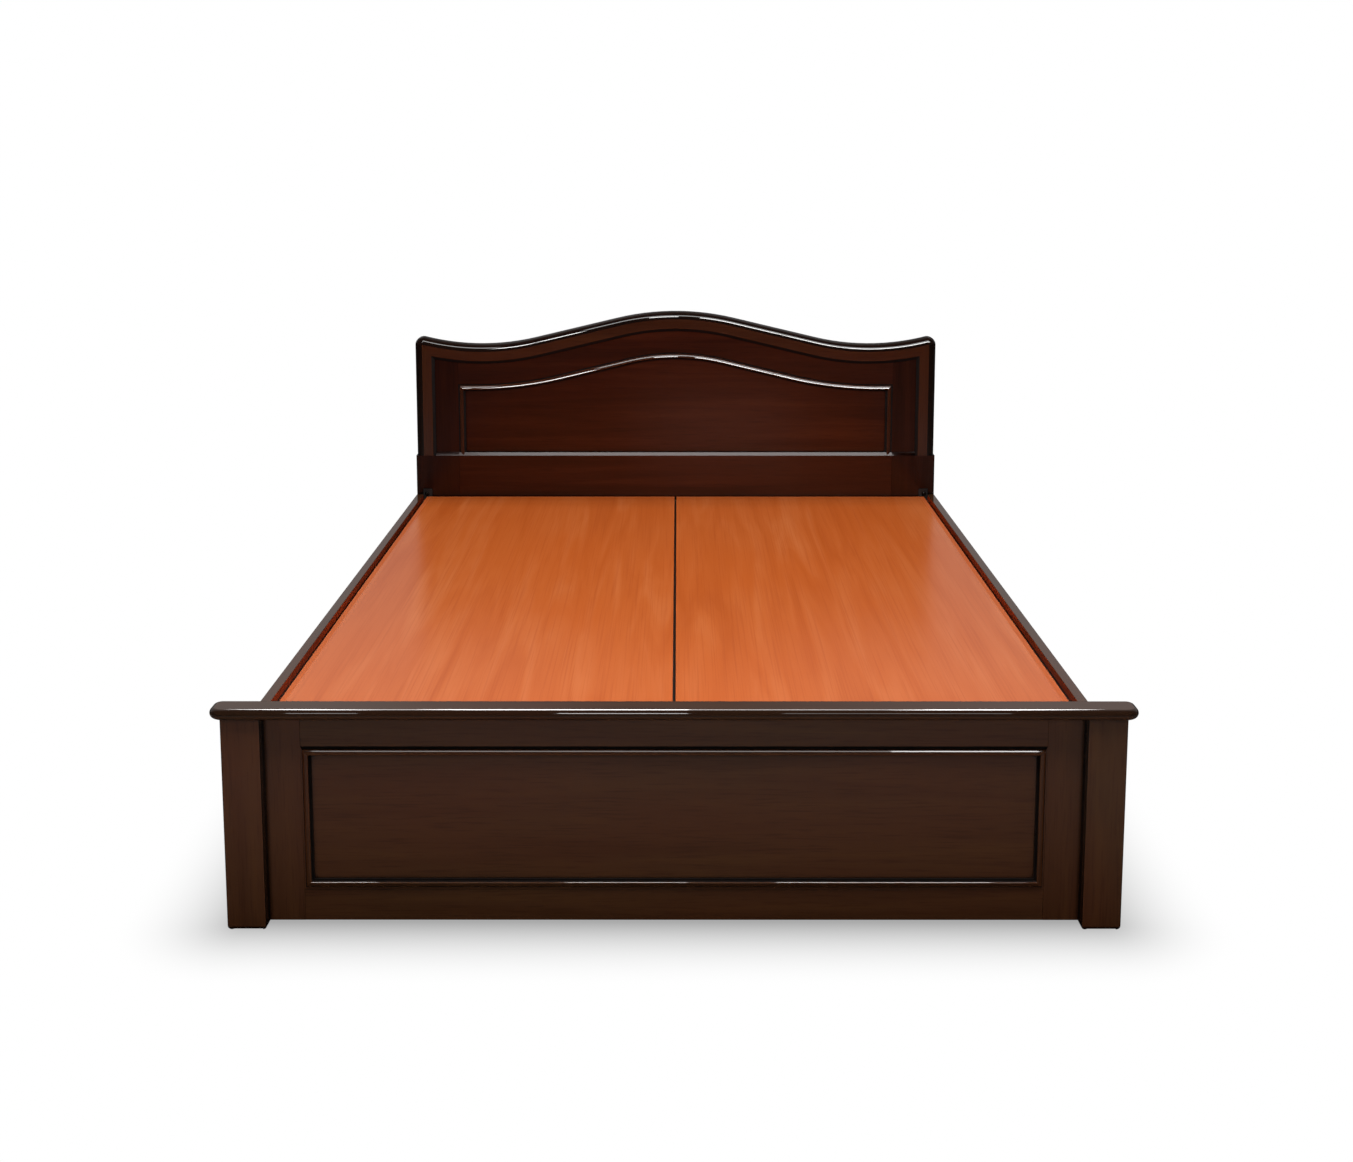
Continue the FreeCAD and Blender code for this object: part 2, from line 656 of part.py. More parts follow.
def build_corner_hardware():
    """Brackets at the four corners, with their bolts and screws. Holes are cut in the wood."""
    hole_x = inner_half_width - bracket_hole_side_inset
    head_bracket = bracket(head_front_y, -1, head_bracket_top)
    foot_bracket = bracket(foot_back_y, 1, foot_bracket_top)
    post = parts["headboard_right_post"]
    stile = parts["footboard_right_stile"]
    leg = parts["footboard_right_leg"]
    rail = build_side_rail()

    bolts, washers, nuts = [], [], []
    towards_head = FreeCAD.Vector(0, 1, 0)
    head_seat_y = head_front_y - bracket_thickness
    bore_floor_y = head_back_y - counterbore_depth
    bolt_length = bore_floor_y + washer_thickness + nut_height - head_seat_y
    for z in bracket_holes(head_bracket_top, 0):
        seat = FreeCAD.Vector(hole_x, head_seat_y, z)
        bore_floor = FreeCAD.Vector(hole_x, bore_floor_y, z)
        bolts.append(dome_bolt(seat, towards_head, bolt_length))
        hole = turned(seat, towards_head, bolt_radius + bolt_hole_clearance, head_thickness)
        pocket = turned(bore_floor, towards_head, counterbore_radius, counterbore_depth)
        head_bracket = head_bracket.cut(hole)
        post = post.cut(hole).cut(pocket)
        washer = turned(bore_floor, towards_head, washer_radius, washer_thickness)
        washers.append(washer.cut(hole))
        nut_seat = bore_floor + towards_head * washer_thickness
        nut = aimed(hexagon_bar(nut_across_flats, 0, nut_height), nut_seat, towards_head)
        nuts.append(nut.cut(turned(nut_seat, towards_head, bolt_radius, nut_height)))

    foot_screws = []
    for z in bracket_holes(foot_bracket_top, 0):
        seat = FreeCAD.Vector(hole_x, foot_back_y + bracket_thickness, z)
        foot_screws.append(wood_screw(seat, FreeCAD.Vector(0, -1, 0), bracket_screw_length, False))
    rail_screws = []
    for face_y, into_bed, top in ((head_front_y, -1, head_bracket_top),
                                  (foot_back_y, 1, foot_bracket_top)):
        for z in bracket_holes(top, bracket_rail_flange_trim):
            y = face_y + into_bed * (bracket_flange_width + bracket_thickness) / 2
            seat = FreeCAD.Vector(bracket_side_x, y, z)
            rail_screws.append(wood_screw(seat, FreeCAD.Vector(1, 0, 0), bracket_screw_length, False))
    for screw in foot_screws:
        foot_bracket = foot_bracket.cut(screw)
        stile = stile.cut(screw)
        leg = leg.cut(screw)
    for screw in rail_screws:
        foot_bracket = foot_bracket.cut(screw)
        head_bracket = head_bracket.cut(screw)
        rail = rail.cut(screw)

    parts["headboard_right_post"] = post
    parts["headboard_left_post"] = mirrored(post)
    parts["footboard_right_stile"] = stile
    parts["footboard_left_stile"] = mirrored(stile)
    parts["footboard_right_leg"] = leg
    parts["footboard_left_leg"] = mirrored(leg)
    parts["right_side_rail"] = rail
    parts["corner_bracket_head_right"] = head_bracket
    parts["corner_bracket_head_left"] = mirrored(head_bracket)
    parts["corner_bracket_foot_right"] = foot_bracket
    parts["corner_bracket_foot_left"] = mirrored(foot_bracket)
    for name, pieces in (("bed_bolts", bolts), ("bed_bolt_washers", washers), ("bed_bolt_nuts", nuts),
                         ("foot_bracket_screws", foot_screws), ("rail_bracket_screws", rail_screws)):
        parts[name] = group(pieces + [mirrored(piece) for piece in pieces])


def build_side_rail():
    """The right side rail, between the headboard's post and the footboard's leg."""
    rail = block((inner_half_width, outer_half_width), (foot_back_y, head_front_y),
                 (side_rail_bottom, rail_top_height))
    return rounded(rail, side_rail_edge_radius,
                   lambda box: box.YLength > inner_length / 2)


def build_ledgers():
    """Strips that carry the deck: one along each side rail, and two across each end."""
    ledger_z = (ledger_bottom, deck_bottom)
    end_gap = bracket_flange_width + ledger_bracket_clearance
    side_x = (inner_half_width - ledger_thickness, inner_half_width)
    side_y = (foot_back_y + end_gap, head_front_y - end_gap)
    side_ledger = block(side_x, side_y, ledger_z)
    cross_x = (beam_width / 2 + hanger_thickness + hanger_flange_width + ledger_bracket_clearance,
               inner_half_width - end_gap)
    head_ledger = block(cross_x, (head_front_y - ledger_thickness, head_front_y), ledger_z)
    foot_ledger = block(cross_x, (foot_back_y, foot_back_y + ledger_thickness), ledger_z)
    middle_z = (ledger_bottom + deck_bottom) / 2

    side_screws = [wood_screw(FreeCAD.Vector(side_x[0], y, middle_z), FreeCAD.Vector(1, 0, 0),
                              ledger_screw_length, True)
                   for y in spread(side_y[0] + ledger_screw_end_inset,
                                   side_y[1] - ledger_screw_end_inset, ledger_screw_count)]
    places = spread(cross_x[0] + ledger_screw_end_inset, cross_x[1] - ledger_screw_end_inset,
                    cross_ledger_screw_count)
    head_screws = [wood_screw(FreeCAD.Vector(x, head_front_y - ledger_thickness, middle_z),
                              FreeCAD.Vector(0, 1, 0), ledger_screw_length, True) for x in places]
    foot_screws = [wood_screw(FreeCAD.Vector(x, foot_back_y + ledger_thickness, middle_z),
                              FreeCAD.Vector(0, -1, 0), ledger_screw_length, True) for x in places]
    rail = parts["right_side_rail"]
    for screw in side_screws:
        side_ledger = side_ledger.cut(screw)
        rail = rail.cut(screw)
    for screw in head_screws:
        head_ledger = head_ledger.cut(screw)
    for screw in foot_screws:
        foot_ledger = foot_ledger.cut(screw)
    for screw in head_screws + [mirrored(screw) for screw in head_screws]:
        for wood in ("headboard_lower_rail", "headboard_right_post", "headboard_left_post"):
            parts[wood] = parts[wood].cut(screw)
    for screw in foot_screws + [mirrored(screw) for screw in foot_screws]:
        parts["footboard_top_rail"] = parts["footboard_top_rail"].cut(screw)

    parts["right_side_rail"] = rail
    parts["left_side_rail"] = mirrored(rail)
    for name, ledger in (("side_ledger", side_ledger), ("head_ledger", head_ledger),
                         ("foot_ledger", foot_ledger)):
        parts["right_" + name] = ledger
        parts["left_" + name] = mirrored(ledger)
    screws = side_screws + head_screws + foot_screws
    parts["ledger_screws"] = group(screws + [mirrored(screw) for screw in screws])


def hanger(face_y, into_bed):
    """A steel hanger that holds one end of the centre beam."""
    half = beam_width / 2
    outer = half + hanger_thickness
    back_y = (face_y, face_y + into_bed * hanger_thickness)
    seat_y = (face_y, face_y + into_bed * hanger_seat_length)
    bottom = beam_bottom - hanger_thickness
    seat = block((-outer, outer), seat_y, (bottom, beam_bottom))
    right_side = block((half, outer), seat_y, (bottom, beam_bottom + hanger_lip_height))
    right_flange = block((half, outer + hanger_flange_width), back_y,
                         (bottom, beam_bottom + hanger_lip_height))
    shape = seat.fuse([right_side, right_flange, mirrored(right_side), mirrored(right_flange)])
    return shape.removeSplitter()


def build_centre_support():
    """A beam down the middle in two hangers, with two legs to the floor."""
    beam = block((-beam_width / 2, beam_width / 2), (foot_back_y, head_front_y),
                 (beam_bottom, deck_bottom))
    middle_y = (foot_back_y + head_front_y) / 2
    half = centre_leg_size / 2
    tenon_half = centre_leg_tenon_size / 2
    centre_glides = []
    for name, y in (("front", middle_y - centre_leg_spacing / 2),
                    ("rear", middle_y + centre_leg_spacing / 2)):
        leg = block((-half, half), (y - half, y + half), (glide_stand, beam_bottom))
        leg = rounded(leg, deck_edge_radius, upright)
        tenon = block((-tenon_half, tenon_half), (y - tenon_half, y + tenon_half),
                      (beam_bottom, beam_bottom + centre_leg_tenon_length))
        centre_glide = glide(0, y)
        centre_glides.append(centre_glide)
        parts["centre_leg_" + name] = leg.fuse(tenon).cut(centre_glide)
        beam = beam.cut(tenon)
    hanger_screws = []
    screw_x = beam_width / 2 + hanger_thickness + hanger_flange_width / 2
    screw_z = beam_bottom + hanger_lip_height / 2
    for name, face_y, into_bed, wood in (("head", head_front_y, -1, "headboard_lower_rail"),
                                         ("foot", foot_back_y, 1, "footboard_top_rail")):
        steel = hanger(face_y, into_bed)
        seat = FreeCAD.Vector(screw_x, face_y + into_bed * hanger_thickness, screw_z)
        screw = wood_screw(seat, FreeCAD.Vector(0, -into_bed, 0), bracket_screw_length, False)
        for each in (screw, mirrored(screw)):
            steel = steel.cut(each)
            parts[wood] = parts[wood].cut(each)
            hanger_screws.append(each)
        parts["beam_hanger_" + name] = steel
    parts["centre_beam"] = beam
    parts["hanger_screws"] = group(hanger_screws)
    parts["centre_glides"] = group(centre_glides)


def build_deck():
    """Two loose boards side by side, each with battens glued under it."""
    board = block((deck_centre_gap / 2, deck_half_width),
                  (foot_back_y + deck_end_gap, head_front_y - deck_end_gap), (deck_bottom, deck_top))
    board = rounded(board, deck_edge_radius, lambda box: box.ZMin > deck_top - deck_edge_radius)
    parts["right_deck_board"] = board
    parts["left_deck_board"] = mirrored(board)
    batten_x = (beam_width / 2 + batten_end_clearance,
                inner_half_width - ledger_thickness - batten_end_clearance)
    places = spread(foot_back_y + batten_end_inset, head_front_y - batten_end_inset, batten_count)
    for number, y in enumerate(places, start=1):
        batten = block(batten_x, (y - batten_width / 2, y + batten_width / 2),
                       (deck_bottom - batten_height, deck_bottom))
        parts["right_deck_batten_%d" % number] = batten
        parts["left_deck_batten_%d" % number] = mirrored(batten)


build_footboard()
build_headboard()
build_corner_hardware()
build_ledgers()
build_centre_support()
build_deck()

os.makedirs("parts", exist_ok=True)
for node, shape in sorted(parts.items()):
    shape.exportStep("parts/%s.step" % node)
    print(node, len(shape.Solids), "solids", "valid" if shape.isValid() else "NOT VALID",
          round(shape.Volume / 1000, 1), "cm3")
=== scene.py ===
import functools
import json
import math

import bmesh
import bpy
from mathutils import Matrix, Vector

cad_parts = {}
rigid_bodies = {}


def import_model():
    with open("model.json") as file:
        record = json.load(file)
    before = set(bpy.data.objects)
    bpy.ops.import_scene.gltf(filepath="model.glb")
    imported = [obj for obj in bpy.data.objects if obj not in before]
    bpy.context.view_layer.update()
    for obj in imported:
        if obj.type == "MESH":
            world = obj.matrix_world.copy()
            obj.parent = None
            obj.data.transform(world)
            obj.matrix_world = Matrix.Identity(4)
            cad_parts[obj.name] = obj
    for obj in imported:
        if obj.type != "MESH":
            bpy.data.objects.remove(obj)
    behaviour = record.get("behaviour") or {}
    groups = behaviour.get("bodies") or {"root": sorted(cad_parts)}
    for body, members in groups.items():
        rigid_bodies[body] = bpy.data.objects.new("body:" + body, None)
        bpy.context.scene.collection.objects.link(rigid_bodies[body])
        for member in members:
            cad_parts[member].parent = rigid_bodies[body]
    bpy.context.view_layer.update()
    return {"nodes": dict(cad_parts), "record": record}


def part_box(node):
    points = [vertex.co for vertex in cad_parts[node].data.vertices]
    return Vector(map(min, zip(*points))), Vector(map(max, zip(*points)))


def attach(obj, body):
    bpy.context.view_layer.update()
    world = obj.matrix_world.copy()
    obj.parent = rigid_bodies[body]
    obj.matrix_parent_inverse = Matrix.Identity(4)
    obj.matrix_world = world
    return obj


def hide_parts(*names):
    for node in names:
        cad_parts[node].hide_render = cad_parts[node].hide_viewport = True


# A double bed of dark polished hardwood with an orange stained plywood deck. Metres, +Z up, the
# head towards +Y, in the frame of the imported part.
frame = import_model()

MM = 0.001

# Joinery sizes that the boxes of the nodes don't give
BEVEL_WIDTH = 9 * MM
BEVEL_DEPTH = 6 * MM
BORDER_WIDTH = 58 * MM
BORDER_NOSE = 22 * MM
EAR_RADIUS = 24 * MM
ARRIS = 0.8 * MM

# The headboard's top line: a crown arc, straight flanks and a trough arc at each side
CREST = dict(trough_height=868.5 * MM, trough_place=581.7 * MM, crown_share=0.422, trough_share=0.393)

# The top line of the opening for the headboard's panel
OPENING = dict(trough_height=747.5 * MM, trough_place=608.2 * MM, crown_share=0.31, trough_share=0.58)

# The bead moulding's section, from the opening's edge inwards: a quirk, a small round, a face that
# flattens, a nose at the step, and a groove beside the panel
BEAD_QUIRK = 3.5 * MM
QUIRK_DEPTH = 2 * MM
ROUND_START = 0.5 * MM
BEAD_ROUND = 6.5 * MM
ROUND_LEANS = (66, 58, 50, 42)
ROUND_STRIDE = math.radians(8)
BEAD_LEANS = (36, 33, 30, 27, 24, 21)
BEAD_NOSE = 2 * MM
BEAD_NOSE_STEPS = 5
BEAD_STEP = 15.5 * MM
GROOVE_DEPTH = 1.2 * MM
BEAD_WIDTH = 20.5 * MM
PANEL_DROP = 5 * MM

# The footboard's beads: the quirk's width and depth, and how far the step and the inner edge move
FOOT_BEADS = {"bottom": (4.5 * MM, 0.2 * MM, 1.6 * MM, 0),
              "right": (2.6 * MM, 0.2 * MM, -0.9 * MM, -2.4 * MM),
              "top": (5.0 * MM, 2.0 * MM, 0, -2.4 * MM),
              "left": (2.6 * MM, 0.2 * MM, -0.9 * MM, -2.4 * MM)}
SHALLOW_QUIRK = 1 * MM

# Points of the bead's section by number: the quirk's floor, and the first two on the round
QUIRK_POINTS = (1, 2)
ROUND_POINTS = (4, 5)

# Rounded corners of the cap, seen from above, and its bullnose
CAP_FRONT_CORNER = 27 * MM
CAP_REAR_CORNER = 17 * MM
CAP_BULLNOSE = 9.9 * MM

# Eased edges of the boards, and the legs' feet
LEG_EASE = 3 * MM
FOOT_ROUND = 8 * MM
RAIL_EASE = 1.2 * MM
DECK_EASE = 1.8 * MM

# How a face has to turn, as a part of its normal, to carry painted light and shade: up or down
# on the edges of the cap and of the deck, and sideways on the deck, the legs and the rails. The cap's
# edges and the legs' inner sides get painted shade, the deck's edges a painted highlight, and the
# rails' inner faces painted bounce light from the deck
CAP_EDGE_TURNS = (-0.1, 0.985)
DECK_EDGE_TURNS = (-0.5, 0.98)
DECK_SIDE_TURN = 0.15
LEG_SIDE_TURN = 0.4
RAIL_SIDE_TURN = 0.9

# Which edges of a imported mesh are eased: the long and sharp ones. Its faces that turn by less than
# the flat angle are joined, and faces of any piece that turn by less than the smooth angle shade as
# one.
LONG_EDGE = 40 * MM
SHARP_ANGLE = math.radians(60)
FLAT_ANGLE = math.radians(1)
SMOOTH_ANGLE = math.radians(32)

# Points that lie closer together than this are one: in drawn sections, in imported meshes, in a cut
SAME_PLACE = 0.01 * MM
SAME_PLACE_IN_PACKED = 0.02 * MM
SAME_PLACE_IN_CUT = 0.001 * MM

# Painted shade: how far from corners and joints it reaches, and the shares of near black painted as
# shade on the posts and the cap, on the noses of mouldings and the legs' inner sides, and round the
# cap's edge
HOLLOW_REACH = 14 * MM
RAIL_HOLLOW_REACH = 4 * MM
PART_SHADE_SHARE = 0.25
NOSE_SHADE_SHARE = 0.88
CAP_SHADE_SHARE = 0.72

# The lacquer's roughness and share and the stain's three tones: on the footboard and the rails, on
# the headboard's mouldings, on its broad faces, and on the rails' inner faces by the deck, where a
# bright red is painted bounce light from the deck
POLISHES = {"moulded": (0.03, 1.0, ("3D2413", "432917", "492D18")),
            "crest": (0.03, 1.0, ("3C1F11", "422415", "482815")),
            "flat": (0.20, 0.65, ("38180B", "461E0E", "542713")),
            "inner": (0.25, 0.5, ("9A3412", "A83A16", "B6421A"))}
# How far down the rails' inner faces the painted bounce light reaches
INNER_DEPTH = 45 * MM

# A darker, rougher band along the deck boards' outer edges, and the width of the line where it meets
# the rest. The band takes this share of its own tone, and is this much rougher.
EDGE_BAND = 12 * MM
EDGE_BAND_LINE = 2 * MM
EDGE_BAND_TONE_SHARE = 0.7
EDGE_BAND_ROUGHER = 0.35

# Steps of the curves
CROWN_STEPS = 28
TROUGH_STEPS = 28
EAR_STEPS = 10
NOSE_STEPS = 10

# The camera of the photograph, as solved from it
PHOTO_WIDTH = 1353
PHOTO_HEIGHT = 1162
FOCAL_PIXELS = 1700
CENTRE_ROW = 396.8
SENSOR_WIDTH = 36
CAMERA_PLACE = Vector((0.007, -4.048, 1.4445))
CAMERA_PITCH = math.radians(8.25)
CAMERA_YAW = math.radians(0.044)


def linear(colour):
    """A linear colour from an sRGB hex value."""
    channels = [int(colour[place:place + 2], 16) / 255 for place in (0, 2, 4)]
    return [part / 12.92 if part <= 0.04045 else ((part + 0.055) / 1.055) ** 2.4
            for part in channels] + [1.0]


def add(tree, kind, inputs=None, **settings):
    """Adds one node, sets its options, and sets or links its inputs."""
    node = tree.nodes.new(kind)
    for name, value in settings.items():
        setattr(node, name, value)
    for name, value in (inputs or {}).items():
        if isinstance(value, bpy.types.NodeSocket):
            tree.links.new(value, node.inputs[name])
        else:
            node.inputs[name].default_value = value
    return node


def new_material(name):
    """An empty material with a Principled shader, as (material, tree, shader)."""
    material = bpy.data.materials.new(name)
    material.use_nodes = True
    tree = material.node_tree
    tree.nodes.clear()
    shader = add(tree, "ShaderNodeBsdfPrincipled")
    add(tree, "ShaderNodeOutputMaterial", {"Surface": shader.outputs[0]})
    return material, tree, shader


def maths(tree, operation, *values):
    """The result of one operation on numbers or sockets."""
    return add(tree, "ShaderNodeMath", dict(enumerate(values)), operation=operation).outputs[0]


def vector_maths(tree, operation, *values):
    """The vector that one operation on vectors gives."""
    return add(tree, "ShaderNodeVectorMath", dict(enumerate(values)), operation=operation).outputs[0]


def larger_side(tree, vector):
    """The larger of a vector's x and y."""
    sides = add(tree, "ShaderNodeSeparateXYZ", {0: vector})
    return maths(tree, "MAXIMUM", sides.outputs["X"], sides.outputs["Y"])


def seen_directly(tree):
    """1 for what the camera sees itself or through a clear piece, 0 for what lights or reflects."""
    rays = add(tree, "ShaderNodeLightPath")
    return maths(tree, "MAXIMUM", rays.outputs["Is Camera Ray"],
                 rays.outputs["Is Transmission Ray"])


def streaks(tree, axis, length, width, detail=2.0, distortion=0.0, shift=0.0):
    """Soft streaks along an axis: noise as long and as wide as given, as a value round 0.5."""
    place = add(tree, "ShaderNodeTexCoord").outputs["Object"]
    scale = [1 / length if name == axis else 1 / width for name in "xyz"]
    turned = add(tree, "ShaderNodeMapping", {"Vector": place, "Scale": scale, "Location": [shift] * 3})
    return add(tree, "ShaderNodeTexNoise",
               {"Vector": turned.outputs[0], "Scale": 1.0, "Detail": detail,
                "Distortion": distortion}).outputs[0]


def specks(tree, size, detail):
    """Noise that is as long as it is wide, as a value round 0.5."""
    return streaks(tree, "x", size, size, detail=detail)


def ramp(tree, value, stops):
    """A colour for each value, from (place, sRGB hex) stops."""
    node = add(tree, "ShaderNodeValToRGB", {"Fac": value})
    band = node.color_ramp
    while len(band.elements) < len(stops):
        band.elements.new(0.5)
    for element, (place, colour) in zip(band.elements, stops):
        element.position = place
        element.color = linear(colour)
    return node.outputs[0]


def between(tree, value, low, high, to_low, to_high):
    """Carries a value from one range to another, and holds it there."""
    return add(tree, "ShaderNodeMapRange",
               {"Value": value, "From Min": low, "From Max": high, "To Min": to_low,
                "To Max": to_high}).outputs[0]


def mixed(tree, share, first, second, blend="MIX"):
    """Two colours mixed by a share."""
    node = add(tree, "ShaderNodeMix", data_type="RGBA", blend_type=blend)
    for socket, value in ((node.inputs[0], share), (node.inputs[6], first), (node.inputs[7], second)):
        if isinstance(value, bpy.types.NodeSocket):
            tree.links.new(value, socket)
        else:
            socket.default_value = value
    return node.outputs[2]


def openness(tree, reach=HOLLOW_REACH):
    """How open a place is, from 0 in a tight gap and 0.5 in a corner to 1 on a free surface."""
    return add(tree, "ShaderNodeAmbientOcclusion", {"Distance": reach}, samples=8).outputs["AO"]


@functools.cache
def polished_hardwood(axis, shade_share, polish):
    """Hardwood with a dark walnut stain under a thick polished lacquer.

    The eye gets hard, bright reflections over a nearly black brown, with faint reddish figure. Shade
    is painted almost black into the corners and joints, which also lose the lacquer. The share of
    shade is how much near black is painted over the stain as shade. Mouldings are polished more than
    broad faces, whose stain is redder.
    """
    blur, lacquer, stains = POLISHES[polish]
    material, tree, shader = new_material(
        "polished_hardwood_%s_%s_%02d" % (axis, polish, round(shade_share * 100)))
    figure = streaks(tree, axis, 620 * MM, 34 * MM, detail=4, distortion=0.6)
    clouds = streaks(tree, axis, 700 * MM, 220 * MM, detail=1, shift=7)
    # Pores are under 1 mm wide: they are drawn 3 mm wide to show at all
    pores = streaks(tree, axis, 70 * MM, 3 * MM, detail=2, shift=3)
    tone = ramp(tree, figure, list(zip((0.30, 0.50, 0.70), stains)))
    tone = mixed(tree, between(tree, clouds, 0.35, 0.65, 0, 0.55), tone, linear("482313"))
    tone = mixed(tree, between(tree, pores, 0.52, 0.70, 0, 0.35), tone, linear("2C160C"))
    # Painted shade: a share of near black over the stain
    if shade_share:
        tone = mixed(tree, shade_share, tone, linear("0A0503"))
    # Painted shade: corners, joints and tight gaps turn near black and lose the lacquer
    free = openness(tree, RAIL_HOLLOW_REACH if axis == "y" else HOLLOW_REACH)
    tone = mixed(tree, between(tree, free, 0.45, 0.88, 0, 1), linear("060302"), tone)
    tree.links.new(tone, shader.inputs["Base Color"])
    tree.links.new(between(tree, pores, 0.3, 0.7, 0.34, 0.48), shader.inputs["Roughness"])
    shader.inputs["Specular IOR Level"].default_value = 0.0
    tree.links.new(between(tree, free, 0.30, 0.55, 0, lacquer), shader.inputs["Coat Weight"])
    shader.inputs["Coat Roughness"].default_value = blur
    relief = add(tree, "ShaderNodeBump",
                 {"Height": pores, "Strength": 0.05, "Distance": 0.3 * MM})
    tree.links.new(relief.outputs[0], shader.inputs["Normal"])
    return material


def quirk_stain():
    """Shade painted into the mouldings' grooves and bevels: nearly black, and matt."""
    material, tree, shader = new_material("quirk_stain")
    patches = specks(tree, 9 * MM, 2)
    tone = ramp(tree, patches, [(0.35, "080302"), (0.65, "120805")])
    tree.links.new(tone, shader.inputs["Base Color"])
    tree.links.new(between(tree, patches, 0.3, 0.7, 0.6, 0.75), shader.inputs["Roughness"])
    shader.inputs["Specular IOR Level"].default_value = 0.15
    return material


def edge_band(tree):
    """1 on a band round the deck's outer edges, 0 on the rest."""
    low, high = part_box("right_deck_board")
    place = add(tree, "ShaderNodeTexCoord").outputs["Object"]
    middle = [0, (low.y + high.y) / 2, 0]
    size = vector_maths(tree, "ABSOLUTE", vector_maths(tree, "SUBTRACT", place, middle))
    inner = [high.x - EDGE_BAND, (high.y - low.y) / 2 - EDGE_BAND, 0]
    beyond = larger_side(tree, vector_maths(tree, "SUBTRACT", size, inner))
    return between(tree, beyond, -EDGE_BAND_LINE / 2, EDGE_BAND_LINE / 2, 0, 1)


def deck_plywood(name, outer):
    """Plywood with an orange brown stained veneer and a thin satin varnish.

    The eye gets lengthwise grain with a silky cross-light, and a broad soft sheen that a darker,
    rougher band along the outer edges lacks. On the outer faces shade is painted dark red into the
    hollows. Without these two, the material is the painted highlight on the eased edges.
    """
    material, tree, shader = new_material(name)
    figure = streaks(tree, "y", 900 * MM, 55 * MM, detail=4, distortion=0.8)
    clouds = streaks(tree, "y", 420 * MM, 260 * MM, detail=2, shift=11)
    # Veneer pores are under 1 mm wide: they are drawn 3 mm wide to show at all
    pores = streaks(tree, "y", 400 * MM, 3 * MM, detail=2, shift=5)
    tone = ramp(tree, figure, [(0.30, "BE5A22"), (0.50, "C9652C"), (0.70, "D1713A")])
    tone = mixed(tree, between(tree, clouds, 0.3, 0.7, 0, 0.5), tone, linear("C55C1F"))
    tone = mixed(tree, between(tree, pores, 0.5, 0.72, 0, 0.35), tone, linear("A8481A"))
    roughness = between(tree, pores, 0.3, 0.7, 0.21, 0.26)
    if outer:
        # A darker, rougher band along the outer edges
        rim = edge_band(tree)
        tone = mixed(tree, maths(tree, "MULTIPLY", rim, EDGE_BAND_TONE_SHARE), tone, linear("B04E14"))
        # Painted shade: dark red in the hollows of the outer faces
        tone = mixed(tree, between(tree, openness(tree), 0.4, 0.8, 0, 1), linear("4A1808"), tone)
        roughness = maths(tree, "MULTIPLY_ADD", rim, EDGE_BAND_ROUGHER, roughness)
    tree.links.new(tone, shader.inputs["Base Color"])
    tree.links.new(roughness, shader.inputs["Roughness"])
    shader.inputs["Specular IOR Level"].default_value = 0.5
    return material


def raw_timber(axis, name, light, dark):
    """Planed softwood or turned beech with no finish: pale, dry and matt, with soft growth lines."""
    material, tree, shader = new_material(name + "_" + axis)
    rings = streaks(tree, axis, 500 * MM, 14 * MM, detail=3, distortion=0.5)
    fibres = streaks(tree, axis, 60 * MM, 2 * MM, detail=2, shift=4)
    tone = ramp(tree, rings, [(0.35, dark), (0.60, light)])
    tone = mixed(tree, between(tree, fibres, 0.5, 0.7, 0, 0.3), tone, linear(dark))
    # Painted shade: near black in hollows and gaps
    tone = mixed(tree, between(tree, openness(tree), 0.45, 0.9, 0, 1), linear("0E0703"), tone)
    tree.links.new(tone, shader.inputs["Base Color"])
    tree.links.new(between(tree, fibres, 0.3, 0.7, 0.6, 0.75), shader.inputs["Roughness"])
    relief = add(tree, "ShaderNodeBump", {"Height": fibres, "Strength": 0.25, "Distance": 0.3 * MM})
    tree.links.new(relief.outputs[0], shader.inputs["Normal"])
    return material


def metal(name, colour, worn, roughness, metallic):
    """Steel under a thin finish: flecks of a second tone, and uneven gloss from handling."""
    material, tree, shader = new_material(name)
    flecks = specks(tree, 3 * MM, 3)
    tone = mixed(tree, between(tree, flecks, 0.5, 0.7, 0, 1), linear(colour), linear(worn))
    tree.links.new(tone, shader.inputs["Base Color"])
    tree.links.new(between(tree, flecks, 0.3, 0.7, roughness - 0.08, roughness + 0.08),
                   shader.inputs["Roughness"])
    shader.inputs["Metallic"].default_value = metallic
    return material


def glide_plastic():
    """Moulded black polyethylene: matt, with a fine moulded grain."""
    material, tree, shader = new_material("glide_plastic")
    grain = specks(tree, 0.6 * MM, 1)
    tone = ramp(tree, grain, [(0.35, "161616"), (0.65, "222222")])
    tree.links.new(tone, shader.inputs["Base Color"])
    shader.inputs["Roughness"].default_value = 0.55
    relief = add(tree, "ShaderNodeBump", {"Height": grain, "Strength": 0.3, "Distance": 0.1 * MM})
    tree.links.new(relief.outputs[0], shader.inputs["Normal"])
    return material


QUIRK = quirk_stain()
TIMBER = {axis: raw_timber(axis, "raw_timber", "D0A878", "B4864F") for axis in "xyz"}
DECK = deck_plywood("deck_plywood", True)
# The painted highlight on the deck boards' eased edges
DECK_EDGE_HIGHLIGHT = deck_plywood("deck_plywood_edge", False)
BEECH = raw_timber("x", "dowel_beech", "DDBB8C", "C79B66")
BRACKET_STEEL = metal("bracket_steel", "1A1716", "2A2624", 0.45, 0.0)
ZINC = metal("zinc_plated_steel", "B9B8B0", "A9A48F", 0.35, 1.0)
BLACK_OXIDE = metal("black_oxide_steel", "2A2827", "3A3634", 0.3, 1.0)
GLIDE = glide_plastic()

# Pieces whose grain stands upright; the grain of every other hardwood piece runs across the bed,
# apart from the side rails
UPRIGHT = ("post", "stile", "_leg", "left_border", "right_border", "bead_left", "bead_right")

# Pieces with broad flat faces, which are polished less than the mouldings
BROAD = ("post", "headboard_top_rail", "headboard_lower_rail", "headboard_panel")


